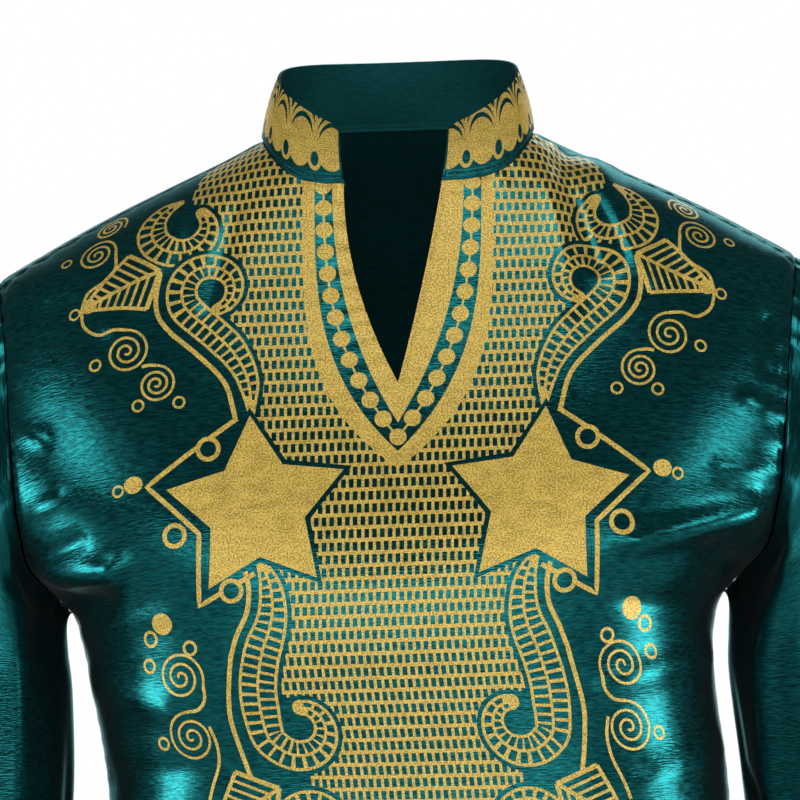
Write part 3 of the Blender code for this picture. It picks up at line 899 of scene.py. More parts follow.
SCROLLS = {
    "hem": Scroll(
        stem=((0.0040, -0.4900), (0.0240, -0.4580), (0.0520, -0.4260), (0.0710, -0.3960)),
        eye=(0.0560, -0.3690),
        centre=(0.0560, -0.3690),
        turns=(-6, 226),
        reach=(1.0, 0.80),
    ),
    "lower": Scroll(
        stem=(
            (0.0740, -0.2215),
            (0.0672, -0.2390),
            (0.0668, -0.2570),
            (0.0730, -0.2760),
            (0.0768, -0.2950),
        ),
        eye=(0.0560, -0.3130),
        centre=(0.0572, -0.3130),
        turns=(-12, -262),
        reach=(1.20, 0.60),
        size=1.16,
    ),
    "shoulder": Scroll(
        stem=(),
        eye=(0.1145, -0.0470),
        centre=(0.1145, -0.0470),
        turns=(84, -222),
        reach=(1.22, 0.80),
    ),
    "upper": Scroll(
        stem=((0.0772, -0.1490), (0.0795, -0.1290), (0.0872, -0.1145), (0.0975, -0.1040)),
        eye=(0.0997, -0.0810),
        centre=(0.0997, -0.0810),
        turns=(-45, 252),
        reach=(1.0, 0.72),
    ),
}
BAND_KNOTS = (0.0, 0.12, 0.30, 0.52, 0.78, 1.0)
BAND_HALVES = (0.0014, 0.0056, 0.0088, 0.0092, 0.0070, 0.0036)
SLIM = (0.003, 0.0056, 0.0088, 0.0092)
WIDE = (0.003, 0.0062, 0.0100, 0.0106)
STRANDS = (
    Beside("upper", 56, -1, SLIM, ((0.1288, -0.0850), (0.1265, -0.0715))),
    Beside("lower", 42, 1, WIDE, ((0.0935, -0.3050), (0.0918, -0.3220), (0.0877, -0.3414))),
    Beside("hem", 60, -1, SLIM),
)
LEAVES = (
    ((0.1265, -0.0703), (0.1690, -0.0896), (0.1435, -0.0610), (0.1338, -0.0900)),
    ((0.0735, -0.3470), (0.1120, -0.3720), (0.0960, -0.3380), (0.0780, -0.3700)),
)
SPIRALS = (
    Spiral(0.1539, -0.0455, 0.0100, 200, -1),
    Spiral(0.1611, -0.0600, 0.0112, 180, -1),
    Spiral(0.1444, -0.1123, 0.0124, 90, 1),
    Spiral(0.1283, -0.1300, 0.0106, 90, 1),
    Spiral(0.1170, -0.2862, 0.0140, 200, -1),
    Spiral(0.1160, -0.3190, 0.0142, 90, -1),
    Spiral(0.1180, -0.4040, 0.0130, 90, -1),
    Spiral(0.1010, -0.4330, 0.0120, 90, 1),
)
LINKS = (
    Link(((0.1690, -0.0896), (0.1655, -0.0805), (0.1570, -0.0745), (0.1510, -0.0680)), 1),
    Link(((0.1690, -0.0896), (0.1672, -0.0985), (0.1595, -0.1030), (0.1515, -0.1008)), 2),
    Link(((0.1360, -0.1205), (0.1322, -0.1198)), 3),
    Link(((0.1058, -0.2985), (0.1100, -0.3038)), 5, 4),
    Link(((0.1120, -0.3720), (0.1080, -0.3830), (0.1112, -0.3895)), 6),
    Link(((0.1100, -0.4110), (0.1052, -0.4195)), 7),
    Link(
        (
            (0.1057, -0.3130),
            (0.1035, -0.3230),
            (0.1045, -0.3340),
            (0.1085, -0.3450),
            (0.1120, -0.3560),
        )
    ),
)

# Small rings in the front view, round the star and beside the spirals: place and radius
STAR_RINGS = (
    (0.1003, -0.1652, 0.0068),
    (0.1180, -0.2105, 0.0068),
    (0.0880, -0.2405, 0.0068),
    (0.1482, -0.1862, 0.0034),
    (0.1312, -0.2653, 0.0048),
)
SPIRAL_RINGS = (
    (0.1775, -0.0640, 0.0034),
    (0.1610, -0.1190, 0.0036),
    (0.1378, -0.1412, 0.0036),
    (0.1160, -0.1400, 0.0036),
    (0.1330, -0.2800, 0.0044),
    (0.1105, -0.2706, 0.0044),
    (0.1318, -0.3225, 0.0040),
    (0.1345, -0.4100, 0.0036),
    (0.1150, -0.4450, 0.0036),
)

# Outer edge of the block of bricks, in the front view
BLOCK_EDGE = (
    (0.1080, -0.0050),
    (0.1120, -0.0470),
    (0.0997, -0.0810),
    (0.0975, -0.1040),
    (0.0872, -0.1145),
    (0.0795, -0.1290),
    (0.0772, -0.1490),
    (0.0747, -0.1966),
    (0.0740, -0.2215),
    (0.0668, -0.2390),
    (0.0655, -0.2570),
    (0.0712, -0.2760),
    (0.0700, -0.2950),
    (0.0560, -0.3130),
    (0.0560, -0.3690),
    (0.0710, -0.3960),
    (0.0520, -0.4260),
    (0.0240, -0.4580),
    (0.0000, -0.4950),
)


@dataclass
class FrontPrint:
    """Layout of the front's print: neck bands, beads, bricks, stars, ladder scrolls and spirals."""

    cloth: FlatCloth
    ink: Print = field(default_factory=Print)
    side: Side = Side.LEFT
    step: float = 0.0024
    long_step: float = 0.004
    bold: float = 0.0026
    link: float = 0.0018
    brick_pitch: float = 0.0041
    brick_row: float = 0.0067
    brick_size: tuple[float, float] = (0.0025, 0.0047)
    brick_spare: float = 0.012
    bead_pitch: float = 0.0128
    bead_radius: float = 0.0046
    bead_thread: float = 0.0012
    star_place: tuple[float, float] = (0.0747, -0.1966)
    star_radius: float = 0.0500
    star_waist: float = 0.53
    star_turn: float = radians(86)
    star_gap: tuple[float, float] = (0.0046, 0.0030)
    star_strand: tuple[float, float] = (0.0110, 0.0068)
    head_radius: float = 0.0163
    strand_gap: float = 0.0058
    spiral_turns: float = 2.6

    # Borders of the neck bands: half width at the top, depth of the point, how square
    outer_band: tuple[float, float, float] = (0.0510, 0.1585, 4.4)
    bead_channel: tuple[float, float, float] = (0.0445, 0.1495, 3.6)
    inner_band: tuple[float, float, float] = (0.0352, 0.1345, 2.4)
    band_top: float = -0.0200
    band_reach: float = 0.06

    def at(self, x: float, z: float) -> Array:
        """Place on the flat cloth of a place in the front view, on the side being drawn."""
        return self.cloth.place(x, z) * np.array([self.side.value, 1])

    def spots(self, places: Sequence[Sequence[float]]) -> list[Array]:
        """Places on the flat cloth of several places in the front view."""
        return [self.at(x, z) for x, z in places]

    def border(self, band: tuple[float, float, float], count: int = 46) -> Array:
        """Find half of a neck band's border.

        Args:
            band: Half width at the top, depth of the point, and how square it is.
            count: Number of points.

        Returns:
            Points of the front view from the top to the point on the centre line.
        """
        wide, deep, square = band
        down = deep * np.sin(np.linspace(0, pi / 2, count))
        width = wide * (1 - (down / deep) ** square)
        return np.stack([width, self.band_top - down], axis=1)

    def draw(self) -> list[Shape]:
        """Lay out the whole print.

        Returns:
            The shapes, in the order in which they cover each other.
        """
        self.draw_bricks()
        for side in Side:
            self.side = side
            self.draw_scrolls()
            for leaf in LEAVES:
                self.draw_leaf(*self.spots(leaf))
            self.draw_star()
            self.draw_spirals()
        self.draw_neck_bands()
        return self.ink.shapes

    def spine(self, scroll: Scroll) -> Array:
        """Find the middle line of a ladder scroll on the side being drawn."""
        turns = np.radians(np.linspace(*scroll.turns, 11))
        reach = self.head_radius * np.linspace(*scroll.reach, 11)
        across = np.cos(turns) * reach * self.side.value
        head = self.at(*scroll.centre) + np.stack([across, np.sin(turns) * reach], axis=1)
        return smooth_path([*self.spots(scroll.stem), *head], self.step)

    def draw_bricks(self) -> None:
        """Lay the block of bricks between the scrolls and the neck."""
        edges = []
        for side in Side:
            self.side = side
            edges.append(np.array(self.spots(BLOCK_EDGE)))
        block = np.concatenate([edges[0], edges[1][-2::-1]])
        self.ink.lay(block, Paint.FOIL)
        wide = float(np.abs(block[:, 0]).max())
        low, high = float(block[:, 1].min()), float(block[:, 1].max())
        brick = np.array([(-1, -1), (1, -1), (1, 1), (-1, 1)]) * self.brick_size / 2
        count = ceil(wide / self.brick_pitch)
        for row in range(ceil((high - low) / self.brick_row)):
            y = low + (row + 0.5) * self.brick_row
            right, left = (np.interp(y, e[::-1, 1], np.abs(e[::-1, 0])) for e in edges)
            offset = self.brick_pitch / 2 * (row % 2)
            for column in range(-count, count + 1):
                x = column * self.brick_pitch + offset
                if abs(x) <= (left if x > 0 else right) + self.brick_spare:
                    self.ink.lay(brick + (x, y), Paint.SATIN)

    def draw_scrolls(self) -> None:
        """Lay the four ladder scrolls and the strands that run beside them."""
        radius = self.head_radius
        lines = {name: self.spine(scroll) for name, scroll in SCROLLS.items()}
        for scroll in SCROLLS.values():
            self.ink.disc(self.at(*scroll.eye), radius, radius, Paint.SATIN)
        for name, scroll in SCROLLS.items():
            at = np.linspace(0, 1, len(lines[name]))
            self.ink.ladder(lines[name], np.interp(at, BAND_KNOTS, BAND_HALVES) * scroll.size)
        for name, percent, way, halves, tail in STRANDS:
            path = lines[name][: len(lines[name]) * percent // 100]
            at = np.linspace(0, percent / 100, len(path))
            away = np.interp(at, BAND_KNOTS[: len(halves)], halves) + self.strand_gap
            strand = beside(path, way * self.side.value * away)
            if tail:
                strand = smooth_path([*strand[::3], *self.spots(tail)], self.step)
            self.ink.strand(strand, self.bold)

    def star(self, tip: float, waist: float, first: int, last: int) -> Array:
        """Find corners of the star, tips and waists by turns, numbered from its top tip."""
        steps = np.arange(first, last + 1)
        turns = self.star_turn - steps * radians(36)
        reach = np.where(steps % 2 == 0, tip, waist)
        across = self.side.value * reach * np.cos(turns)
        return self.at(*self.star_place) + np.stack([across, reach * np.sin(turns)], axis=1)

    def draw_star(self) -> None:
        """Lay the star, its gap, and the strand that runs round its outer side."""
        tip, waist = self.star_radius, self.star_radius * self.star_waist
        self.ink.lay(self.star(tip + self.star_gap[0], waist + self.star_gap[1], 0, 9), Paint.SATIN)
        size = (tip + self.star_strand[0], waist + self.star_strand[1])
        strand = self.star(*size, 1, 5)
        strand[0] = strand[0] * 0.35 + self.star(*size, 0, 0)[0] * 0.65
        sides = [even(np.array(pair), self.long_step)[:-1] for pair in zip(strand, strand[1:])]
        self.ink.strand(np.concatenate(sides), self.bold)
        self.ink.lay(self.star(tip, waist, 0, 9), Paint.FOIL)
        for x, z, radius in STAR_RINGS:
            self.ink.ring(self.at(x, z), radius)
        self.ink.disc(self.at(0.1400, -0.1830), 0.0052, 0.0046, Paint.FOIL)
        self.ink.disc(self.at(0.1245, -0.2570), 0.0063, 0.0063, Paint.FOIL)

    def straight(self, start: Array, end: Array, width: float) -> None:
        """Lay a straight strand."""
        self.ink.strand(even(np.array([start, end]), self.long_step), width)

    def draw_leaf(self, foot: Array, end: Array, upper: Array, lower: Array) -> None:
        """Lay a leaf with slanting veins.

        Args:
            foot: Where it grows from, on the flat cloth.
            end: Its tip.
            upper: Its upper corner.
            lower: Its lower corner.
        """
        for corner in (upper, lower):
            self.straight(foot, corner, self.bold)
            self.straight(corner, end, 0.0021)
            for t in np.linspace(0.13, 0.73, 6):
                vein = np.array([foot + t * (end - foot), corner + t * (end - corner)])
                self.ink.strand(vein, 0.0016)
        self.straight(foot, end, 0.0022)
        self.ink.disc(end + 0.10 * (foot - end), 0.0046, 0.0042, Paint.FOIL)
        self.ink.ring(end + 0.085 * (end - foot), 0.0034)

    def draw_spirals(self) -> None:
        """Lay the plain spirals, with their rings and the strands that join them."""
        way = self.side.value
        ends = []
        for x, z, radius, angle, turn in SPIRALS:
            start = radians(angle if way > 0 else 180 - angle)
            middle = self.at(x, z)
            ends.append(self.ink.spiral(middle, radius, self.spiral_turns, start, turn * way))
        for x, z, radius in SPIRAL_RINGS:
            self.ink.ring(self.at(x, z), radius)
        for link in LINKS:
            points = [] if link.start is None else [ends[link.start]]
            points += self.spots(link.route)
            points += [] if link.end is None else [ends[link.end]]
            self.ink.strand(smooth_path(points, 0.0020), self.link)

    def draw_neck_bands(self) -> None:
        """Lay the two bands round the slit, with the chain of beads between them."""
        for band, paint in (
            (self.outer_band, Paint.FOIL),
            (self.bead_channel, Paint.SATIN),
            (self.inner_band, Paint.FOIL),
        ):
            outline = []
            for side in Side:
                self.side = side
                line = np.array(self.spots(self.border(band)))
                outline.append(np.concatenate([line[:1] + [0, self.band_reach], line]))
            self.ink.lay(np.concatenate([outline[0], outline[1][-2::-1]]), paint)
        middle = (self.border(self.bead_channel) + self.border(self.inner_band)) / 2
        for side in Side:
            self.side = side
            path = even(np.array(self.spots(middle))[::-1], self.bead_pitch / 8)
            self.ink.strand(path, self.bead_thread)
            step = self.bead_pitch / np.linalg.norm(path[1] - path[0])
            for bead in np.arange(0, len(path) - 1, step):
                if side is Side.LEFT or bead > 0:
                    place = path[int(round(bead))]
                    self.ink.disc(place, self.bead_radius, self.bead_radius, Paint.FOIL)


# Meshes


@dataclass
class Sheet:
    """A flat outline cut into triangles, with a paint for each."""

    places: Array
    faces: Array
    paints: Array
    rim: Array


def signed_area(outline: Array) -> float:
    """Area of a closed outline, positive if it runs anticlockwise."""
    following = np.roll(outline, -1, axis=0)
    return float(np.sum(outline[:, 0] * following[:, 1] - following[:, 0] * outline[:, 1]) / 2)


def cut_sheet(outline: Array, shapes: Sequence[Shape], spacing: float) -> Sheet:
    """Cut a sheet into triangles that follow the print.

    Args:
        outline: The sheet's edge on the flat cloth.
        shapes: The print.
        spacing: Distance between points inside.

    Returns:
        The triangles, with each one's paint and the points of the rim in order.
    """
    outline = outline if signed_area(outline) > 0 else outline[::-1]
    corners = [outline]
    loops = [list(range(len(outline)))]
    count = len(outline)
    for shape in shapes:
        loops.append(list(range(count, count + len(shape.outline))))
        corners.append(shape.outline)
        count += len(shape.outline)
    low, high = outline.min(axis=0), outline.max(axis=0)
    xs = np.arange(low[0] + spacing * 0.43, high[0], spacing)
    ys = np.arange(low[1] + spacing * 0.37, high[1], spacing * 0.87)
    grid = np.stack(np.meshgrid(xs, ys), axis=-1)
    grid[1::2, :, 0] += spacing / 2
    corners.append(grid.reshape(-1, 2))
    points = [Vector(p) for p in (np.concatenate(corners) * 1000).tolist()]
    cut = delaunay_2d_cdt(points, [], loops, 1, 1e-4, True)
    places = np.array([tuple(p) for p in cut[0]]) / 1000
    paints = [Paint.SATIN.value] + [shape.paint.value for shape in shapes]
    faces, covers = [], []
    for face, origins in zip(cut[2], cut[5]):
        if 0 in origins and len(face) == 3:
            faces.append(face)
            covers.append(paints[max(origins)])
    faces = np.array(faces)
    used, index = np.unique(faces, return_inverse=True)
    faces = index.reshape(faces.shape)
    return Sheet(places[used], faces, np.array(covers), rim_of(faces))


def rim_of(faces: Array) -> Array:
    """Follow the open edge of a sheet of triangles, as point numbers in order."""
    ends = np.concatenate([faces[:, [0, 1]], faces[:, [1, 2]], faces[:, [2, 0]]])
    keys = {(a, b) for a, b in ends.tolist()}
    after = {a: b for a, b in keys if (b, a) not in keys}
    start = min(after)
    rim = [start]
    while after[rim[-1]] != start:
        rim.append(after[rim[-1]])
    return np.array(rim)


@dataclass
class Cloth:
    """Corners of a shell's faces, on the object and on its flat layouts."""

    points: Array
    normals: Array
    faces: list[list[int]]
    paints: list[int]
    flat: list[Array]
    bake: list[Array]


def make_object(
    name: str, cloth: Cloth, materials: Sequence[bpy.types.Material]
) -> bpy.types.Object:
    """Make a mesh object with its two layouts.

    Args:
        name: The object's name.
        cloth: Its faces and layouts.
        materials: Its materials, in the order of the paints.

    Returns:
        The new object, linked to the scene.
    """
    mesh = bpy.data.meshes.new(name)
    mesh.from_pydata(cloth.points.tolist(), [], cloth.faces)
    mesh.polygons.foreach_set("material_index", np.array(cloth.paints, dtype=np.int32))
    for material in materials:
        mesh.materials.append(material)
    for label, corners in (("Cloth", cloth.flat), ("OFBake", cloth.bake)):
        layer = mesh.uv_layers.new(name=label)
        layer.data.foreach_set("uv", np.concatenate(corners).astype(np.float32).ravel())
    mesh.shade_smooth()
    mesh.normals_split_custom_set_from_vertices(cloth.normals.tolist())
    obj = bpy.data.objects.new(name, mesh)
    bpy.context.scene.collection.objects.link(obj)
    return obj


def shell_of(
    outer: Sheet,
    inner: Sheet,
    lift: Callable[[Array], tuple[Array, Array]],
    thickness: float,
) -> Cloth:
    """Make a closed shell from an outer sheet and a plainer inner one with the same edge.

    Args:
        outer: The outer sheet. Its rim is the inner sheet's rim.
        inner: The inner sheet.
        lift: Function from flat places to points and normals.
        thickness: Thickness of the cloth.

    Returns:
        The shell's faces and layouts.
    """
    outer_points, outer_normals = lift(outer.places)
    inner_points, inner_normals = lift(inner.places)
    count = len(outer_points)
    points = np.concatenate([outer_points, inner_points - thickness * inner_normals])
    normals = np.concatenate([outer_normals, -inner_normals])
    faces = outer.faces.tolist() + (inner.faces[:, ::-1] + count).tolist()
    paints = outer.paints.tolist() + [Paint.INSIDE.value] * len(inner.faces)
    low = outer.places.min(axis=0)
    size = outer.places.max(axis=0) - low
    wide = size[0] > 3 * size[1]
    big = 0.98 / size[0] if wide else min(0.58 / size[0], 0.94 / size[1])
    small = big if wide else min(0.36 / size[0], 0.60 / size[1])
    corner = (0.01, 0.06 + big * size[1]) if wide else (0.62, 0.04)
    flat = [outer.places[f] for f in outer.faces] + [inner.places[f[::-1]] for f in inner.faces]
    bake = [(outer.places[f] - low) * big + (0.01, 0.04) for f in outer.faces]
    bake += [(inner.places[f[::-1]] - low) * small + corner for f in inner.faces]
    rim_inner = inner.rim + count
    steps = np.linspace(0.01, 0.99, len(outer.rim) + 1)
    for k, (a, d) in enumerate(zip(outer.rim, rim_inner)):
        b, c = np.roll(outer.rim, -1)[k], np.roll(rim_inner, -1)[k]
        faces.append([int(b), int(a), int(d), int(c)])
        paints.append(Paint.SATIN.value)
        place = outer.places[[b, a, a, b]]
        flat.append(place)
        x_1, x_2 = steps[k], steps[k + 1]
        bake.append(np.array([[x_2, 0.024], [x_1, 0.024], [x_1, 0.012], [x_2, 0.012]]))
    corners = outer_points[outer.faces]
    turned = np.cross(corners[:, 1] - corners[:, 0], corners[:, 2] - corners[:, 0])
    if np.sum(turned * outer_normals[outer.faces[:, 0]]) < 0:
        faces, flat, bake = ([part[::-1] for part in parts] for parts in (faces, flat, bake))
    return Cloth(points, normals, faces, paints, flat, bake)


def matching_sheet(outer: Sheet, spacing: float) -> Sheet:
    """Cut a plain sheet with the edge of another, point for point."""
    outline = outer.places[outer.rim]
    inner = cut_sheet(outline, [], spacing)
    away = np.sum((inner.places[inner.rim] - outline[0]) ** 2, axis=1)
    inner.rim = np.roll(inner.rim, -int(np.argmin(away)))
    if len(inner.rim) != len(outer.rim):
        raise ValueError("the inner sheet's edge differs from the outer one's")
    return inner


@dataclass
class Panel:
    """The front or the back: a shell cut on the flat cloth and brought to the form."""

    form: Form
    is_front: bool
    thickness: float = 0.0009
    spacing: float = 0.0042
    inner_spacing: float = 0.0062
    groove: float = 0.0007
    groove_width: float = 0.0022
    pucker: float = 0.00045
    pucker_reach: float = 0.0100
    pucker_pitch: float = 0.0125

    def outline(self) -> Array:
        """Edge of the panel on the flat cloth, once round."""
        if self.is_front:
            halves = [self.cloth.flatten(*self.form.front_outline(side, 90)) for side in Side]
            halves[0][:, 0] *= -1
            bottom = self.cloth.flatten(np.array(0.0), np.array(self.form.slit_bottom))
            return np.concatenate([halves[1], [bottom], halves[0][:0:-1]])
        half = self.cloth.flatten(*self.form.back_outline(90))
        top = self.cloth.flatten(np.array(0.0), np.array(self.form.back_rise))
        return np.concatenate([half, [top], (half * [-1, 1])[:0:-1]])

    def relief(self, flat: Array) -> Array:
        """Find how far the seams draw the cloth in, and pucker it.

        Args:
            flat: Places on the flat cloth.

        Returns:
            Rise of the cloth at each place.
        """
        nearest = [self.tree.find((x, y, 0)) for x, y in flat.tolist()]
        away = np.array([found[2] for found in nearest])
        along = self.edge_run[[found[1] for found in nearest]]
        sewn = ease(self.form.hem + 0.004, self.form.hem + 0.020, flat[:, 1])
        groove = -self.groove * np.exp(-((away / self.groove_width) ** 2))
        drift = 1.9 * np.sin(along / 0.031) + 1.1 * np.sin(along / 0.0127)
        phase = 2 * pi * along / self.pucker_pitch + drift
        size = 0.55 + 0.45 * np.sin(along / 0.043 + 0.8)
        pucker = self.pucker * size * np.sin(phase) * np.exp(-away / self.pucker_reach)
        return sewn * (groove + pucker)

    def surface(self, flat: Array) -> Array:
        """Points of the panel's outer side at flat places."""
        angle, height = self.cloth.raise_up(flat)
        points = self.form.torso(angle, height)
        return points + self.relief(flat)[:, None] * outward(self.form.torso, angle, height)

    def lift(self, flat: Array) -> tuple[Array, Array]:
        """Bring flat places to the form.

        Args:
            flat: Places on the flat cloth.

        Returns:
            Points and unit normals of the outer side.
        """
        step = 0.0004
        across = self.surface(flat + [step, 0]) - self.surface(flat - [step, 0])
        up = self.surface(flat + [0, step]) - self.surface(flat - [0, step])
        normals = unit(np.cross(across, up))
        angle, height = self.cloth.raise_up(flat)
        plain = outward(self.form.torso, angle, height)
        normals *= np.sign(np.sum(normals * plain, axis=1, keepdims=True))
        return self.surface(flat), normals

    def build(self, name: str, materials: Sequence[bpy.types.Material]) -> bpy.types.Object:
        """Build the panel.

        Args:
            name: The object's name.
            materials: Its materials, in the order of the paints.

        Returns:
            The new object.
        """
        self.cloth = FlatCloth(self.form, self.is_front)
        outline = self.outline()
        ends = np.concatenate([outline, outline[:1]])
        fine = np.linspace(0, 1, 10, endpoint=False)[None, :, None]
        edge = (ends[:-1, None] * (1 - fine) + ends[1:, None] * fine).reshape(-1, 2)
        self.edge_run = np.linalg.norm(np.diff(edge, axis=0, prepend=edge[:1]), axis=1).cumsum()
        self.tree = KDTree(len(edge))
        for i, (x, y) in enumerate(edge.tolist()):
            self.tree.insert((x, y, 0), i)
        self.tree.balance()
        shapes = FrontPrint(self.cloth).draw() if self.is_front else []
        outer = cut_sheet(outline, shapes, self.spacing)
        inner = matching_sheet(outer, self.inner_spacing)
        obj = make_object(name, shell_of(outer, inner, self.lift, self.thickness), materials)
        self.area = abs(signed_area(outline))
        self.size = tuple(float(v) for v in np.ptp(outline, axis=0))
        return obj


@dataclass
class Sleeve:
    """A long sleeve: a tube of cloth from the armhole to a plain cuff."""

    form: Form
    side: Side
    thickness: float = 0.0009
    rings: int = 130
    columns: int = 150
    spread: float = 1.15
    head_rings: int = 6
    groove: float = 0.0007
    pucker: float = 0.0006

    def ring(self, turn: Array, along: Array) -> Array:
        """Points of a ring as a plain oval."""
        inner_x = smooth_table(SLEEVE, "inner_x", along)
        inner_z = smooth_table(SLEEVE, "inner_z", along)
        part = (1 + np.cos(turn)) / 2
        x = inner_x + part * (smooth_table(SLEEVE, "outer_x", along) - inner_x)
        z = inner_z + part * (smooth_table(SLEEVE, "outer_z", along) - inner_z)
        depth = smooth_table(SLEEVE, "half_depth", along)
        y = smooth_table(SLEEVE, "lead", along) - depth * np.sin(turn)
        return np.stack([x, y, z], axis=-1)

    def bare(self, turn: Array, along: Array) -> Array:
        """Find points of the left sleeve without folds.

        Args:
            turn: Angle round the sleeve from its top.
            along: Place along it, in rings of the table.

        Returns:
            Points of the upright sleeve. Its first ring is the armhole seam.
        """
        turn, along = np.broadcast_arrays(turn, along)
        one_ring = turn[:1] if turn.ndim > 1 else turn
        angle, height = self.form.armhole(one_ring % (2 * pi))
        seam = np.broadcast_to(self.form.bare(angle, height), turn.shape + (3,))
        fade = (1 - ease(0, self.head_rings, along))[..., None]
        return self.ring(turn, along) + fade * (seam - self.ring(turn, np.zeros_like(along)))

    def surface(self, turn: Array, along: Array) -> Array:
        """Find points of the outer side, with folds, seam puckers and the wearer's pose."""
        turn, along = np.broadcast_arrays(turn, along)
        rise = np.zeros_like(along)
        for fold in SLEEVE_FOLDS + SLEEVE_CREASES:
            if fold.side != self.side.value:
                continue
            t = np.clip((along - fold.along_1) / (fold.along_2 - fold.along_1), 0, 1)
            centre = np.radians(fold.turn_1 + t * (fold.turn_2 - fold.turn_1))
            away = np.degrees((turn - centre + pi) % (2 * pi) - pi)
            over = along - np.clip(along, fold.along_1, fold.along_2)
            rise = rise + fold.rise * np.exp(-((away / fold.width) ** 2) - (over / 0.8) ** 2)
        rise = rise * ease(0.3, 1.6, along)
        phase = 31 * turn + 1.7 * np.sin(3 * turn + 0.5) + 1.2 * np.sin(7 * turn)
        size = 0.6 + 0.4 * np.sin(2 * turn + 1.1)
        rise = rise + self.pucker * size * np.sin(phase) * np.exp(-along / 0.42)
        rise = rise - self.groove * np.exp(-((along / 0.09) ** 2))
        points = self.bare(turn, along) + rise[..., None] * outward(self.bare, turn, along)
        moved = points * np.array([self.side.value, 1, 1])
        return self.form.pose.lean(moved, self.form.pose.sleeve_sway)

    def build(self, name: str, materials: Sequence[bpy.types.Material]) -> bpy.types.Object:
        """Build the sleeve.

        Args:
            name: The object's name.
            materials: Its materials, in the order of the paints.

        Returns:
            The new object.
        """
        rows = SLEEVE[-1].along * np.linspace(0, 1, self.rings + 1) ** self.spread
        turns = pi + np.linspace(0, 2 * pi, self.columns, endpoint=False)
        turn, along = np.meshgrid(turns, rows)
        outer = self.surface(turn, along)
        normals = self.side.value * outward(self.surface, turn, along)
        outer[0] += np.array([self.side.value * self.form.seam_gap, 0, 0])
        inner = outer - self.thickness * normals
        count = outer.shape[0] * outer.shape[1]
        run = np.linalg.norm(np.diff(outer, axis=0), axis=-1).mean(axis=1).cumsum()
        down = np.concatenate([[0], run])
        wide = np.linalg.norm(outer - np.roll(outer, 1, axis=1), axis=-1).sum(axis=1)
        self.size = (float(wide.max()), float(down[-1]))
        self.area = float((wide[1:] * np.diff(down)).sum())
        scale = min(0.46 / wide.max(), 0.94 / down[-1])
        faces: list[list[int]] = []
        paints: list[int] = []
        flat: list[Array] = []
        bake: list[Array] = []
        for inside in (False, True):
            left = 0.52 if inside else 0.02
            for i in range(self.rings):
                for j in range(self.columns):
                    k = (j + 1) % self.columns
                    face = [i * self.columns + j, i * self.columns + k]
                    face += [(i + 1) * self.columns + k, (i + 1) * self.columns + j]
                    spots = np.array([[j, i], [j + 1, i], [j + 1, i + 1], [j, i + 1]], dtype=float)
                    if (self.side is Side.RIGHT) != inside:
                        face, spots = face[::-1], spots[::-1]
                    faces.append([corner + count * inside for corner in face])
                    paints.append(Paint.INSIDE.value if inside else Paint.SATIN.value)
                    level = spots[:, 1].astype(int)
                    share = spots[:, 0] / self.columns
                    flat.append(np.stack([share * wide.mean(), -down[level]], axis=1))
                    spread = np.stack([share * wide.max(), down[level]], axis=1)
                    bake.append(spread * scale + (left, 0.04))
        for i, line in ((0, 0.010), (self.rings, 0.022)):
            for j in range(self.columns):
                k = (j + 1) % self.columns
                face = [i * self.columns + k, i * self.columns + j]
                face += [i * self.columns + j + count, i * self.columns + k + count]
                x_1, x_2 = 0.02 + 0.96 * j / self.columns, 0.02 + 0.96 * (j + 1) / self.columns
                above = line + 0.008
                spots = np.array([[x_2, above], [x_1, above], [x_1, line], [x_2, line]])
                if (i > 0) != (self.side is Side.RIGHT):
                    face, spots = face[::-1], spots[::-1]
                faces.append(face)
                paints.append(Paint.SATIN.value)
                flat.append(spots * 0.3)
                bake.append(spots)
        points = np.concatenate([outer.reshape(-1, 3), inner.reshape(-1, 3)])
        both = np.concatenate([normals.reshape(-1, 3), -normals.reshape(-1, 3)])
        return make_object(name, Cloth(points, both, faces, paints, flat, bake), materials)


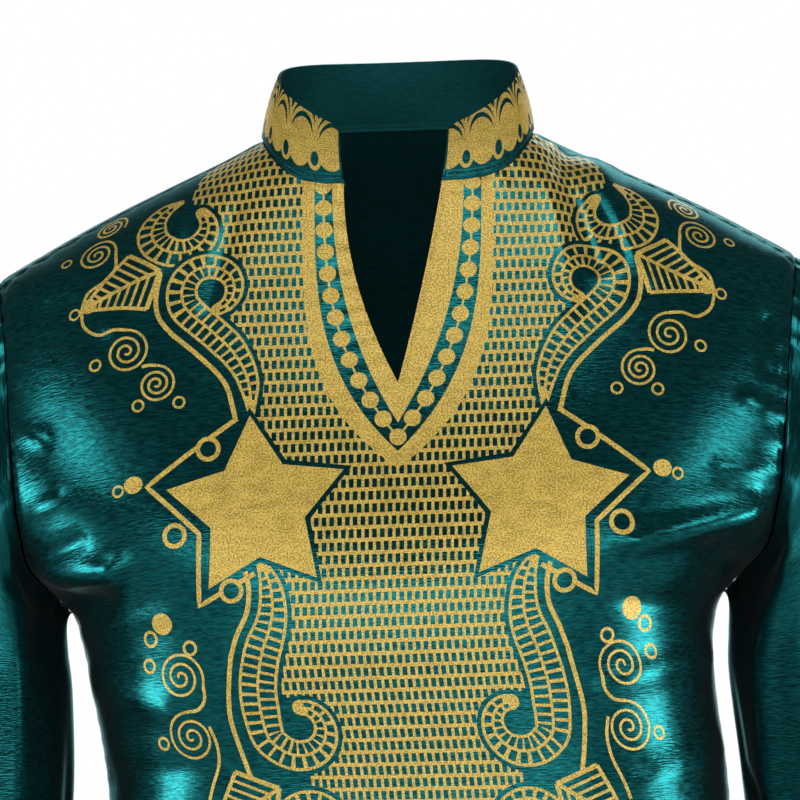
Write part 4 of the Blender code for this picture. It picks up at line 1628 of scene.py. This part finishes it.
@dataclass
class Collar:
    """The stand collar, printed with a row of arched scallops."""

    form: Form
    thickness: float = 0.0017
    spacing: float = 0.0030
    rim_half_width: float = 0.0650
    rim_front: float = 0.0430
    rim_back: float = 0.0500
    rim_top: float = 0.0420
    rim_drop: float = 0.0425
    rim_curve: float = 2.4
    bow: float = 0.0015
    seam_gap: float = 0.0005
    corner: float = 0.0035
    tuck: float = 0.0024
    scallops: int = 20
    end_cut: tuple[float, float] = (0.0056, 0.0025)
    margin: float = 0.0012
    seen_height: float = 0.036
    seen_drop: float = 0.008
    rim_ends: tuple[float, float] = (radians(28.5), radians(24.0))

    def rim_end(self, side: Side) -> float:
        """Turn at which the rim ends."""
        return self.rim_ends[side is Side.LEFT]

    def rim(self, turn: Array) -> Array:
        """Points of the top edge. Turn 0 is the centre front."""
        lean = ((1 + np.cos(turn)) / 2) ** self.rim_curve
        depth = np.where(np.cos(turn) > 0, self.rim_front, self.rim_back)
        height = self.rim_top - self.rim_drop * lean
        across = self.rim_half_width * np.sin(turn)
        return np.stack([across, -depth * np.cos(turn), height], axis=-1)

    def ends(self, side: Side, turn: Array) -> tuple[Array, Array]:
        """Find the foot and the top of the collar.

        Args:
            side: Which half.
            turn: Turn round the neckline.

        Returns:
            Points of the foot and of the top, on the wearer's left.
        """
        base_end = self.form.slit_turn(side)
        angle, height = self.form.neckline(turn)
        foot = self.form.bare(angle, height)
        top = self.rim(pi - (pi - turn) * (pi - self.rim_end(side)) / (pi - base_end))
        return foot + self.seam_gap * unit(top - foot), top

    def prepare(self) -> None:
        """Work out each half's run along the neckline and its height there."""
        self.turns: dict[Side, Array] = {}
        self.runs: dict[Side, Array] = {}
        self.tall: dict[Side, Array] = {}
        for side in Side:
            turn = np.linspace(pi, self.form.slit_turn(side), 400)
            foot, top = self.ends(side, turn)
            self.turns[side] = turn
            self.runs[side] = run_of(foot)
            self.tall[side] = np.linalg.norm(top - foot, axis=1)

    def stretch(self, place: float) -> float:
        """How much taller the collar is than it looks from in front, as it leans in at its ends."""
        side = Side.LEFT if place > 0 else Side.RIGHT
        part = min(abs(place) / self.runs[side][-1], 1.0)
        seen = self.seen_height - self.seen_drop * float(ease(0.45, 1.0, part))
        return float(np.interp(abs(place), self.runs[side], self.tall[side])) / seen

    def outline(self) -> Array:
        """Edge of the collar on the flat cloth, once round."""
        parts = []
        for side in (Side.LEFT, Side.RIGHT):
            run, tall = self.runs[side], self.tall[side]
            across = np.linspace(0, run[-1], 90)
            up = np.interp(across, run, tall)
            end = np.linspace(-self.tuck, up[-1] - self.corner, 9)
            turn = np.linspace(0, pi / 2, 6)[1:]
            round_x = run[-1] - self.corner * (1 - np.cos(turn))
            rounded = np.stack([round_x, up[-1] - self.corner * (1 - np.sin(turn))], axis=1)
            low = np.stack([across, 0 * across - self.tuck], axis=1)
            edge = np.stack([0 * end + run[-1], end], axis=1)[1:]
            inside = across < run[-1] - self.corner * 1.3
            top = np.stack([across, up], axis=1)[inside][::-1]
            half = np.concatenate([low, edge, rounded, top])
            parts.append(half * [side.value, 1])
        return np.concatenate([parts[0], parts[1][::-1][1:-1]])

    def surface(self, flat: Array) -> Array:
        """Points of the collar's outer side at flat places."""
        points = np.empty((len(flat), 3))
        for side in Side:
            here = (flat[:, 0] < 0) == (side is Side.RIGHT)
            across, up = np.abs(flat[here, 0]), flat[here, 1]
            over = np.maximum(across - self.runs[side][-1], 0)
            turn = np.interp(across, self.runs[side], self.turns[side]) - over / 0.05
            foot, top = self.ends(side, turn)
            t = up / np.interp(across, self.runs[side], self.tall[side])
            out = np.stack([np.sin(turn), -np.cos(turn), 0 * turn], axis=-1)
            bow = self.bow * 4 * t * (1 - t) - 0.0005 * np.exp(-((up - 0.0030) / 0.0011) ** 2)
            bow = bow - 0.0022 * ease(0.0, self.tuck, -up)
            half = foot + t[:, None] * (top - foot) + bow[:, None] * out
            points[here] = half * np.array([side.value, 1, 1])
        return self.form.pose.lean(points, self.form.pose.body_sway)

    def lift(self, flat: Array) -> tuple[Array, Array]:
        """Bring flat places to the form.

        Args:
            flat: Places on the flat collar.

        Returns:
            Points and unit normals of the outer side.
        """
        step = 0.0003
        shift = np.where(flat[:, :1] < 0, -1.0, 1.0) * [1, 0] * step
        back = np.where(np.abs(flat[:, :1]) > step, 1.0, 0.0)
        points = self.surface(flat)
        behind = points - self.surface(flat - back * shift)
        ahead = self.surface(flat + shift) - points
        up = self.surface(flat + [0, step]) - self.surface(flat - [0, step])
        normals = unit(np.cross(np.where(back > 0, behind, ahead), up))
        normals *= np.sign(np.sum(normals * points * np.array([1, 1, 0]), axis=1, keepdims=True))
        return points, normals

    def draw(self, outline: Array) -> list[Shape]:
        """Lay out the scallops.

        Args:
            outline: Edge of the flat collar.

        Returns:
            The print's shapes.
        """
        ink = Print()
        left = self.runs[Side.LEFT][-1] - self.end_cut[1]
        right = -self.runs[Side.RIGHT][-1] + self.end_cut[0]
        centres = np.linspace(right, left, self.scallops + 1)
        half = (centres[1] - centres[0]) / 2
        for height, wide, tall, paint in (
            (0.0215, 0.0108, 0.0135, Paint.FOIL),
            (0.0223, 0.0089, 0.0103, Paint.SATIN),
            (0.0192, 0.0094, 0.0112, Paint.FOIL),
            (0.0198, 0.0076, 0.0082, Paint.SATIN),
            (0.0154, 0.0083, 0.0104, Paint.FOIL),
        ):
            for centre in centres:
                k = self.stretch(centre)
                ink.disc(np.array([centre, height * k]), wide, tall * k, paint)
        for centre in centres[:-1]:
            k = self.stretch(centre + half)
            ink.disc(np.array([centre + half, 0.0098 * k]), 0.0041, 0.0051 * k, Paint.FOIL)
            ink.disc(np.array([centre + half, 0.0098 * k]), 0.0023, 0.0033 * k, Paint.SATIN)
        for side in Side:
            reach = np.abs(outline[:, 0]) > self.runs[side][-1] - 0.4 * self.corner
            end = outline[reach & (np.sign(outline[:, 0]) == side.value) & (outline[:, 1] > 0)]
            ink.ribbon(end, self.margin, self.margin, Paint.SATIN)
        return ink.shapes

    def build(self, name: str, materials: Sequence[bpy.types.Material]) -> bpy.types.Object:
        """Build the collar.

        Args:
            name: The object's name.
            materials: Its materials, in the order of the paints.

        Returns:
            The new object.
        """
        self.prepare()
        outline = self.outline()
        outer = cut_sheet(outline, self.draw(outline), self.spacing)
        inner = matching_sheet(outer, self.spacing * 1.4)
        self.area = abs(signed_area(outline))
        self.size = tuple(float(v) for v in np.ptp(outline, axis=0))
        return make_object(name, shell_of(outer, inner, self.lift, self.thickness), materials)


@dataclass
class Stitching:
    """Rows of stitches: small rounded threads that lie on the cloth."""

    length: float = 0.0024
    pitch: float = 0.0034
    radius: float = 0.00022
    rings: tuple[tuple[float, float], ...] = ((-0.7, 0.75), (0.0, 1.0), (0.7, 0.75))
    sides: int = 6

    def build(
        self, name: str, rows: Sequence[tuple[Array, Array]], material: bpy.types.Material
    ) -> bpy.types.Object:
        """Build rows of stitches.

        Args:
            name: The object's name.
            rows: For each row, points along it and the cloth's normals there.
            material: The thread.

        Returns:
            The new object.
        """
        points: list[Array] = []
        faces: list[list[int]] = []
        for line, normals in rows:
            run = run_of(line)
            for start in np.arange(self.pitch / 2, run[-1] - self.pitch / 2, self.pitch):
                ends = np.array([start - self.length / 2, start + self.length / 2])
                a, b = (np.array([np.interp(e, run, line[:, k]) for k in range(3)]) for e in ends)
                normal = np.array([np.interp(start, run, normals[:, k]) for k in range(3)])
                self.thread(points, faces, a, b, unit(normal))
        mesh = bpy.data.meshes.new(name)
        mesh.from_pydata(np.concatenate(points).tolist(), [], faces)
        mesh.materials.append(material)
        mesh.shade_smooth()
        mesh.update()
        obj = bpy.data.objects.new(name, mesh)
        bpy.context.scene.collection.objects.link(obj)
        return obj

    def thread(
        self, points: list[Array], faces: list[list[int]], a: Array, b: Array, normal: Array
    ) -> None:
        """Add one stitch from a to b, half sunk in the cloth."""
        first = sum(len(part) for part in points)
        along = unit(b - a)
        across = np.cross(along, normal)
        middle = (a + b) / 2 + normal * self.radius * 0.55
        half = self.length / 2
        turn = np.linspace(0, 2 * pi, self.sides, endpoint=False)[:, None]
        circle = self.radius * (np.cos(turn) * across + np.sin(turn) * normal)
        rows = [middle + along * half * t + circle * r for t, r in self.rings]
        dip = normal * self.radius * 0.7
        tips = [middle - along * half - dip, middle + along * half - dip]
        points.append(np.concatenate([*rows, tips]))
        n = self.sides
        tip = first + n * len(self.rings)
        for j in range(n):
            k = (j + 1) % n
            faces.append([tip, first + k, first + j])
            for r in range(len(self.rings) - 1):
                low, high = first + r * n, first + (r + 1) * n
                faces.append([low + j, low + k, high + k, high + j])
            last = first + (len(self.rings) - 1) * n
            faces.append([tip + 1, last + j, last + k])


# Finishes


class Signal:
    """A number that varies over a surface. Sums and products of it add their own nodes."""

    def __init__(self, tree: "Tree", socket: bpy.types.NodeSocket) -> None:
        """Wrap a socket of a material's node tree."""
        self.tree = tree
        self.socket = socket

    def _math(self, operation: str, first: Any, second: Any) -> "Signal":
        """Add a Math node."""
        node = self.tree.node("ShaderNodeMath", {"operation": operation}, {0: first, 1: second})
        return Signal(self.tree, node.outputs[0])

    def __add__(self, other: Any) -> "Signal":
        """Add."""
        return self._math("ADD", self, other)

    def __radd__(self, other: Any) -> "Signal":
        """Add, reflected."""
        return self._math("ADD", other, self)

    def __sub__(self, other: Any) -> "Signal":
        """Subtract."""
        return self._math("SUBTRACT", self, other)

    def __rsub__(self, other: Any) -> "Signal":
        """Subtract, reflected."""
        return self._math("SUBTRACT", other, self)

    def __mul__(self, other: Any) -> "Signal":
        """Multiply."""
        return self._math("MULTIPLY", self, other)

    def __rmul__(self, other: Any) -> "Signal":
        """Multiply, reflected."""
        return self._math("MULTIPLY", other, self)


class Tree:
    """A material's node tree, on the cloth's own flat layout."""

    def __init__(self, name: str) -> None:
        """Start a material with a Principled shader."""
        self.material = bpy.data.materials.new(name)
        self.material.use_nodes = True
        self.nodes = self.material.node_tree.nodes
        self.shader = self.nodes["Principled BSDF"]

    def node(self, kind: str, settings: dict[str, Any], sockets: dict[Any, Any]) -> bpy.types.Node:
        """Add a node.

        Args:
            kind: The node's type.
            settings: Its settings, made first.
            sockets: A value or a link for each of its input sockets.

        Returns:
            The new node.
        """
        node = self.nodes.new(kind)
        for key, value in settings.items():
            setattr(node, key, value)
        for key, value in sockets.items():
            self.feed(node.inputs[key], value)
        return node

    def feed(self, socket: bpy.types.NodeSocket, value: Any) -> None:
        """Link a socket, or give it a value."""
        if isinstance(value, Signal):
            self.material.node_tree.links.new(value.socket, socket)
        elif isinstance(value, bpy.types.NodeSocket):
            self.material.node_tree.links.new(value, socket)
        else:
            socket.default_value = value

    def cloth(self, wide: float, tall: float) -> bpy.types.NodeSocket:
        """Flat place on the cloth, measured in cells of the given size."""
        place = self.node("ShaderNodeUVMap", {"uv_map": "Cloth"}, {})
        cells = (1 / wide, 1 / tall, 1.0)
        scaled = self.node(
            "ShaderNodeVectorMath", {"operation": "MULTIPLY"}, {0: place.outputs[0], 1: cells}
        )
        return scaled.outputs[0]

    def noise(self, wide: float, tall: float, detail: float) -> Signal:
        """Soft noise with cells of the given size, from 0 to 1."""
        sockets = {"Vector": self.cloth(wide, tall), "Scale": 1.0, "Detail": detail}
        node = self.node("ShaderNodeTexNoise", {"noise_dimensions": "2D"}, sockets)
        return Signal(self, node.outputs["Fac"])

    def between(self, signal: Signal, low: float, high: float) -> Signal:
        """Stretch a signal so that low becomes 0 and high becomes 1."""
        sockets = {"Value": signal, "From Min": low, "From Max": high}
        node = self.node("ShaderNodeMapRange", {"interpolation_type": "SMOOTHSTEP"}, sockets)
        return Signal(self, node.outputs["Result"])

    def blend(self, factor: Signal, first: Any, second: Any) -> bpy.types.NodeSocket:
        """Blend two colours."""
        settings = {"data_type": "RGBA"}
        node = self.node("ShaderNodeMix", settings, {"Factor": factor})
        colours = [s for s in node.inputs if s.type == "RGBA"]
        self.feed(colours[0], first)
        self.feed(colours[1], second)
        return next(s for s in node.outputs if s.type == "RGBA")

    def bump(self, height: Signal, strength: float, depth: float) -> bpy.types.NodeSocket:
        """Normal of a surface with a fine relief."""
        sockets = {"Height": height, "Strength": strength, "Distance": depth}
        return self.node("ShaderNodeBump", {}, sockets).outputs["Normal"]


@dataclass(frozen=True)
class Finish:
    """A surface whose colour varies between two."""

    dark: tuple[float, float, float]
    bright: tuple[float, float, float]

    def material(self, name: str) -> bpy.types.Material:
        """Make the material.

        Args:
            name: The material's name.

        Returns:
            The material.
        """
        tree = Tree(name)
        self.shade(tree)
        return tree.material

    def shade(self, tree: Tree) -> None:
        """Set up the shader."""
        raise NotImplementedError

    def colour(self, tree: Tree, tone: Signal) -> None:
        """Blend the two colours."""
        blend = tree.blend(tone, (*self.dark, 1), (*self.bright, 1))
        tree.feed(tree.shader.inputs["Base Color"], blend)


@dataclass(frozen=True)
class Satin(Finish):
    """Slubbed satin with a strong sheen."""

    roughness: float = 0.20
    metallic: float = 0.88
    sheen: float = 0.05
    sheen_roughness: float = 0.4
    anisotropic: float = 0.35
    edge_tint: tuple[float, float, float, float] = (0.10, 0.42, 0.43, 1.0)

    def shade(self, tree: Tree) -> None:
        """Set up the shader: slubs, broad streaks and a fine grain along the weave."""
        slub = tree.noise(0.0056, 0.00085, 2.0)
        broad = tree.noise(0.0180, 0.0024, 3.0)
        grain = tree.noise(0.00042, 0.00036, 1.0)
        weave = slub * 0.62 + broad * 0.26 + grain * 0.12
        self.colour(tree, tree.between(weave, 0.34, 0.66))
        inputs = tree.shader.inputs
        tree.feed(inputs["Roughness"], self.roughness + (weave - 0.5) * 0.22)
        tree.feed(inputs["Normal"], tree.bump(slub * 0.75 + broad * 0.25, 0.60, 0.00024))
        inputs["Metallic"].default_value = self.metallic
        inputs["Sheen Weight"].default_value = self.sheen
        inputs["Sheen Roughness"].default_value = self.sheen_roughness
        inputs["Anisotropic"].default_value = self.anisotropic
        inputs["Specular Tint"].default_value = self.edge_tint


@dataclass(frozen=True)
class Foil(Finish):
    """Gold foil print with a fine sparkling grain."""

    dark: tuple[float, float, float] = (0.302, 0.208, 0.033)
    bright: tuple[float, float, float] = (0.785, 0.550, 0.111)
    roughness: float = 0.44
    metallic: float = 0.32

    def shade(self, tree: Tree) -> None:
        """Set up the shader: a sparkling grain over soft clouds."""
        grain = tree.noise(0.00095, 0.00085, 2.0)
        cloud = tree.noise(0.0110, 0.0048, 3.0)
        self.colour(tree, tree.between(grain * 0.82 + cloud * 0.18, 0.36, 0.62))
        inputs = tree.shader.inputs
        tree.feed(inputs["Roughness"], self.roughness + (cloud - 0.5) * 0.30)
        tree.feed(inputs["Normal"], tree.bump(grain, 0.35, 0.00025))
        inputs["Metallic"].default_value = self.metallic


@dataclass(frozen=True)
class Thread(Finish):
    """Matt sewing thread with a twist."""

    dark: tuple[float, float, float] = (0.004, 0.050, 0.054)
    bright: tuple[float, float, float] = (0.012, 0.150, 0.156)
    roughness: float = 0.62
    twist: float = 2600.0

    def shade(self, tree: Tree) -> None:
        """Set up the shader: a fine noise in place of the twist."""
        place = tree.node("ShaderNodeTexCoord", {}, {}).outputs["Object"]
        sockets = {"Vector": place, "Scale": self.twist}
        twist = tree.node("ShaderNodeTexNoise", {"noise_dimensions": "3D"}, sockets)
        self.colour(tree, tree.between(Signal(tree, twist.outputs["Fac"]), 0.35, 0.65))
        tree.shader.inputs["Roughness"].default_value = self.roughness


@dataclass
class Studio:
    """Camera, lights and floor."""

    scale: float = 0.00053
    middle: tuple[float, float] = (0.0011, -0.1426)
    chest: float = -0.095
    away: float = 4.6
    sensor: float = 36.0
    pixels: int = 800
    sight: float = 60.0
    floor_height: float = -0.830
    floor_half: float = 5.0

    def camera(self) -> None:
        """Stand the camera level in front of the chest, with the photograph's frame."""
        data = bpy.data.cameras.new("camera")
        data.sensor_width = self.sensor
        data.lens = self.sensor * self.away / (self.pixels * self.scale)
        data.clip_end = self.sight
        obj = bpy.data.objects.new("camera", data)
        obj.location = (self.middle[0], self.chest - self.away, self.middle[1])
        obj.rotation_euler = (pi / 2, 0, 0)
        bpy.context.scene.collection.objects.link(obj)
        bpy.context.scene.camera = obj

    def lamp(
        self,
        name: str,
        place: Sequence[float],
        aim: Sequence[float],
        size: tuple[float, float],
        power: float,
    ) -> None:
        """Set up a soft box.

        Args:
            name: Its name.
            place: Where it stands.
            aim: What it faces.
            size: Its width and height.
            power: Its power in watts.
        """
        data = bpy.data.lights.new(name, "AREA")
        data.shape = "RECTANGLE"
        data.size, data.size_y = size
        data.energy = power
        obj = bpy.data.objects.new(name, data)
        obj.location = place
        turn = (Vector(aim) - Vector(place)).to_track_quat("-Z", "Y")
        obj.rotation_euler = turn.to_euler()
        obj.visible_camera = False
        bpy.context.scene.collection.objects.link(obj)

    def floor(self) -> None:
        """Lay the pale floor."""
        mesh = bpy.data.meshes.new("floor")
        h, z = self.floor_half, self.floor_height
        mesh.from_pydata([(-h, -h, z), (h, -h, z), (h, h, z), (-h, h, z)], [], [[0, 1, 2, 3]])
        tree = Tree("floor")
        place = tree.node("ShaderNodeTexCoord", {}, {}).outputs["Object"]
        noise = tree.node("ShaderNodeTexNoise", {}, {"Vector": place, "Scale": 60.0})
        tone = Signal(tree, noise.outputs["Fac"])
        pale = tree.blend(tone, (0.78, 0.78, 0.77, 1), (0.82, 0.82, 0.81, 1))
        tree.feed(tree.shader.inputs["Base Color"], pale)
        tree.shader.inputs["Roughness"].default_value = 0.7
        mesh.materials.append(tree.material)
        obj = bpy.data.objects.new("floor", mesh)
        bpy.context.scene.collection.objects.link(obj)

    def sky(self) -> None:
        """Light the room: pale behind the shirt and above it, dimmer on the camera's side."""
        world = bpy.data.worlds.new("studio")
        world.use_nodes = True
        nodes, links = world.node_tree.nodes, world.node_tree.links
        background = nodes["Background"]
        place = nodes.new("ShaderNodeTexCoord")
        split = nodes.new("ShaderNodeSeparateXYZ")
        ramp = nodes.new("ShaderNodeValToRGB")
        spread = nodes.new("ShaderNodeMapRange")
        spread.inputs["From Min"].default_value = -1.0
        spread.inputs["From Max"].default_value = 1.0
        links.new(place.outputs["Generated"], split.inputs[0])
        links.new(split.outputs["Y"], spread.inputs["Value"])
        links.new(spread.outputs["Result"], ramp.inputs["Fac"])
        ramp.color_ramp.elements[0].position = 0.78
        ramp.color_ramp.elements[0].color = (0.150, 0.150, 0.154, 1)
        ramp.color_ramp.elements[1].position = 0.97
        ramp.color_ramp.elements[1].color = (1.0, 1.0, 1.0, 1)
        links.new(ramp.outputs["Color"], background.inputs["Color"])
        background.inputs["Strength"].default_value = 1.0
        bpy.context.scene.world = world

    def build(self) -> None:
        """Set up the whole studio."""
        self.camera()
        self.floor()
        self.sky()
        for name, place, aim, size, power in (
            ("left", (-1.75, -1.30, 0.50), (0, 0, -0.22), (0.60, 0.40), 6.5),
            ("right", (1.75, -1.30, 0.26), (0, 0, -0.22), (0.60, 0.50), 6.5),
            ("low", (0.0, -2.0, -0.64), (0, -0.10, -0.27), (3.0, 0.26), 15),
            ("top", (0.1, -1.5, 2.0), (0, -0.05, -0.22), (1.3, 0.8), 17),
            ("side_left", (-2.1, -0.55, -0.62), (0, 0, -0.25), (0.6, 0.7), 17),
            ("side_right", (2.1, -0.45, -0.56), (0, 0, -0.25), (0.6, 0.7), 17),
            ("rear", (0.4, 2.0, 1.1), (0, 0, -0.25), (1.6, 0.8), 15),
        ):
            self.lamp(name, place, aim, size, power)
        bpy.context.scene.view_settings.view_transform = "Standard"


@dataclass
class Shirt:
    """The whole shirt."""

    form: Form = field(default_factory=Form)
    hem_row: float = 0.018
    cuff_row: float = 10.72
    collar_row: float = 0.0036

    def finishes(self) -> dict[str, bpy.types.Material]:
        """Make all the finishes."""
        front = Satin((0.0030, 0.046, 0.048), (0.0070, 0.112, 0.117))
        plain = Satin((0.0029, 0.043, 0.045), (0.0066, 0.106, 0.111))
        sleeve = Satin((0.0029, 0.042, 0.044), (0.0066, 0.104, 0.109))
        inside = Satin((0.0040, 0.050, 0.053), (0.0060, 0.078, 0.082), 0.60, 0.30, 0.05)
        collar = Satin((0.0030, 0.043, 0.045), (0.0066, 0.104, 0.109), 0.34, 0.85)
        return {
            "front": front.material("printed satin"),
            "plain": plain.material("plain satin"),
            "sleeve": sleeve.material("sleeve satin"),
            "collar": collar.material("collar satin"),
            "inside": inside.material("wrong side of satin"),
            "foil": Foil().material("gold foil"),
            "thread": Thread().material("sewing thread"),
        }

    def hem(self, start: float, end: float) -> tuple[Array, Array]:
        """Find a row of stitches above the hem, from one angle to another."""
        angle = np.linspace(start, end, 200)
        height = np.full_like(angle, self.form.hem + self.hem_row)
        return self.form.torso(angle, height), outward(self.form.torso, angle, height)

    def cuff(self, sleeve: Sleeve) -> tuple[Array, Array]:
        """Find the row of stitches above a cuff."""
        turn = np.linspace(0, 2 * pi, 200)[None, :]
        along = np.full_like(turn, self.cuff_row)
        normals = sleeve.side.value * outward(sleeve.surface, turn, along)
        return sleeve.surface(turn, along)[0], normals[0]

    def collar_foot(self, collar: Collar) -> tuple[Array, Array]:
        """Find the row of stitches above the foot of the collar."""
        ends = [collar.runs[side][-1] * side.value for side in Side]
        across = np.linspace(ends[0] + 0.002, ends[1] - 0.002, 400)
        return collar.lift(np.stack([across, 0 * across + self.collar_row], axis=1))

    def build(self) -> list[bpy.types.Object]:
        """Build every piece.

        Returns:
            The pieces.
        """
        finish = self.finishes()
        front, back, collar = Panel(self.form, True), Panel(self.form, False), Collar(self.form)
        left, right = Sleeve(self.form, Side.LEFT), Sleeve(self.form, Side.RIGHT)
        neck, body = ["collar"], ["front", "back"]
        pieces = []
        for name, maker, satin, slot, rests_on, row in (
            ("front", front, "front", "printed_satin", neck, lambda: self.hem(-pi / 2, pi / 2)),
            ("back", back, "plain", "plain_satin", neck, lambda: self.hem(pi / 2, 3 * pi / 2)),
            ("sleeve_left", left, "sleeve", "sleeve_satin", body, lambda: self.cuff(left)),
            ("sleeve_right", right, "sleeve", "sleeve_satin", body, lambda: self.cuff(right)),
            ("collar", collar, "collar", "printed_collar", body, lambda: self.collar_foot(collar)),
        ):
            piece = maker.build(f"{name}_cloth", [finish[satin], finish["foil"], finish["inside"]])
            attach(piece, "root")
            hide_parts(name)
            thread = Stitching().build(f"{name}_stitching", [row()], finish["thread"])
            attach(thread, "root")
            pieces += [piece, thread]
        return pieces


def main() -> None:
    """Build the studio and the shirt, and report each piece."""
    logging.basicConfig(level=logging.INFO, format="%(message)s")
    bpy.ops.object.select_all(action="DESELECT")
    Studio().build()
    for piece in Shirt().build():
        piece.data.calc_loop_triangles()
        logging.info("%s: %d triangles", piece.name, len(piece.data.loop_triangles))


if __name__ == "__main__":
    main()
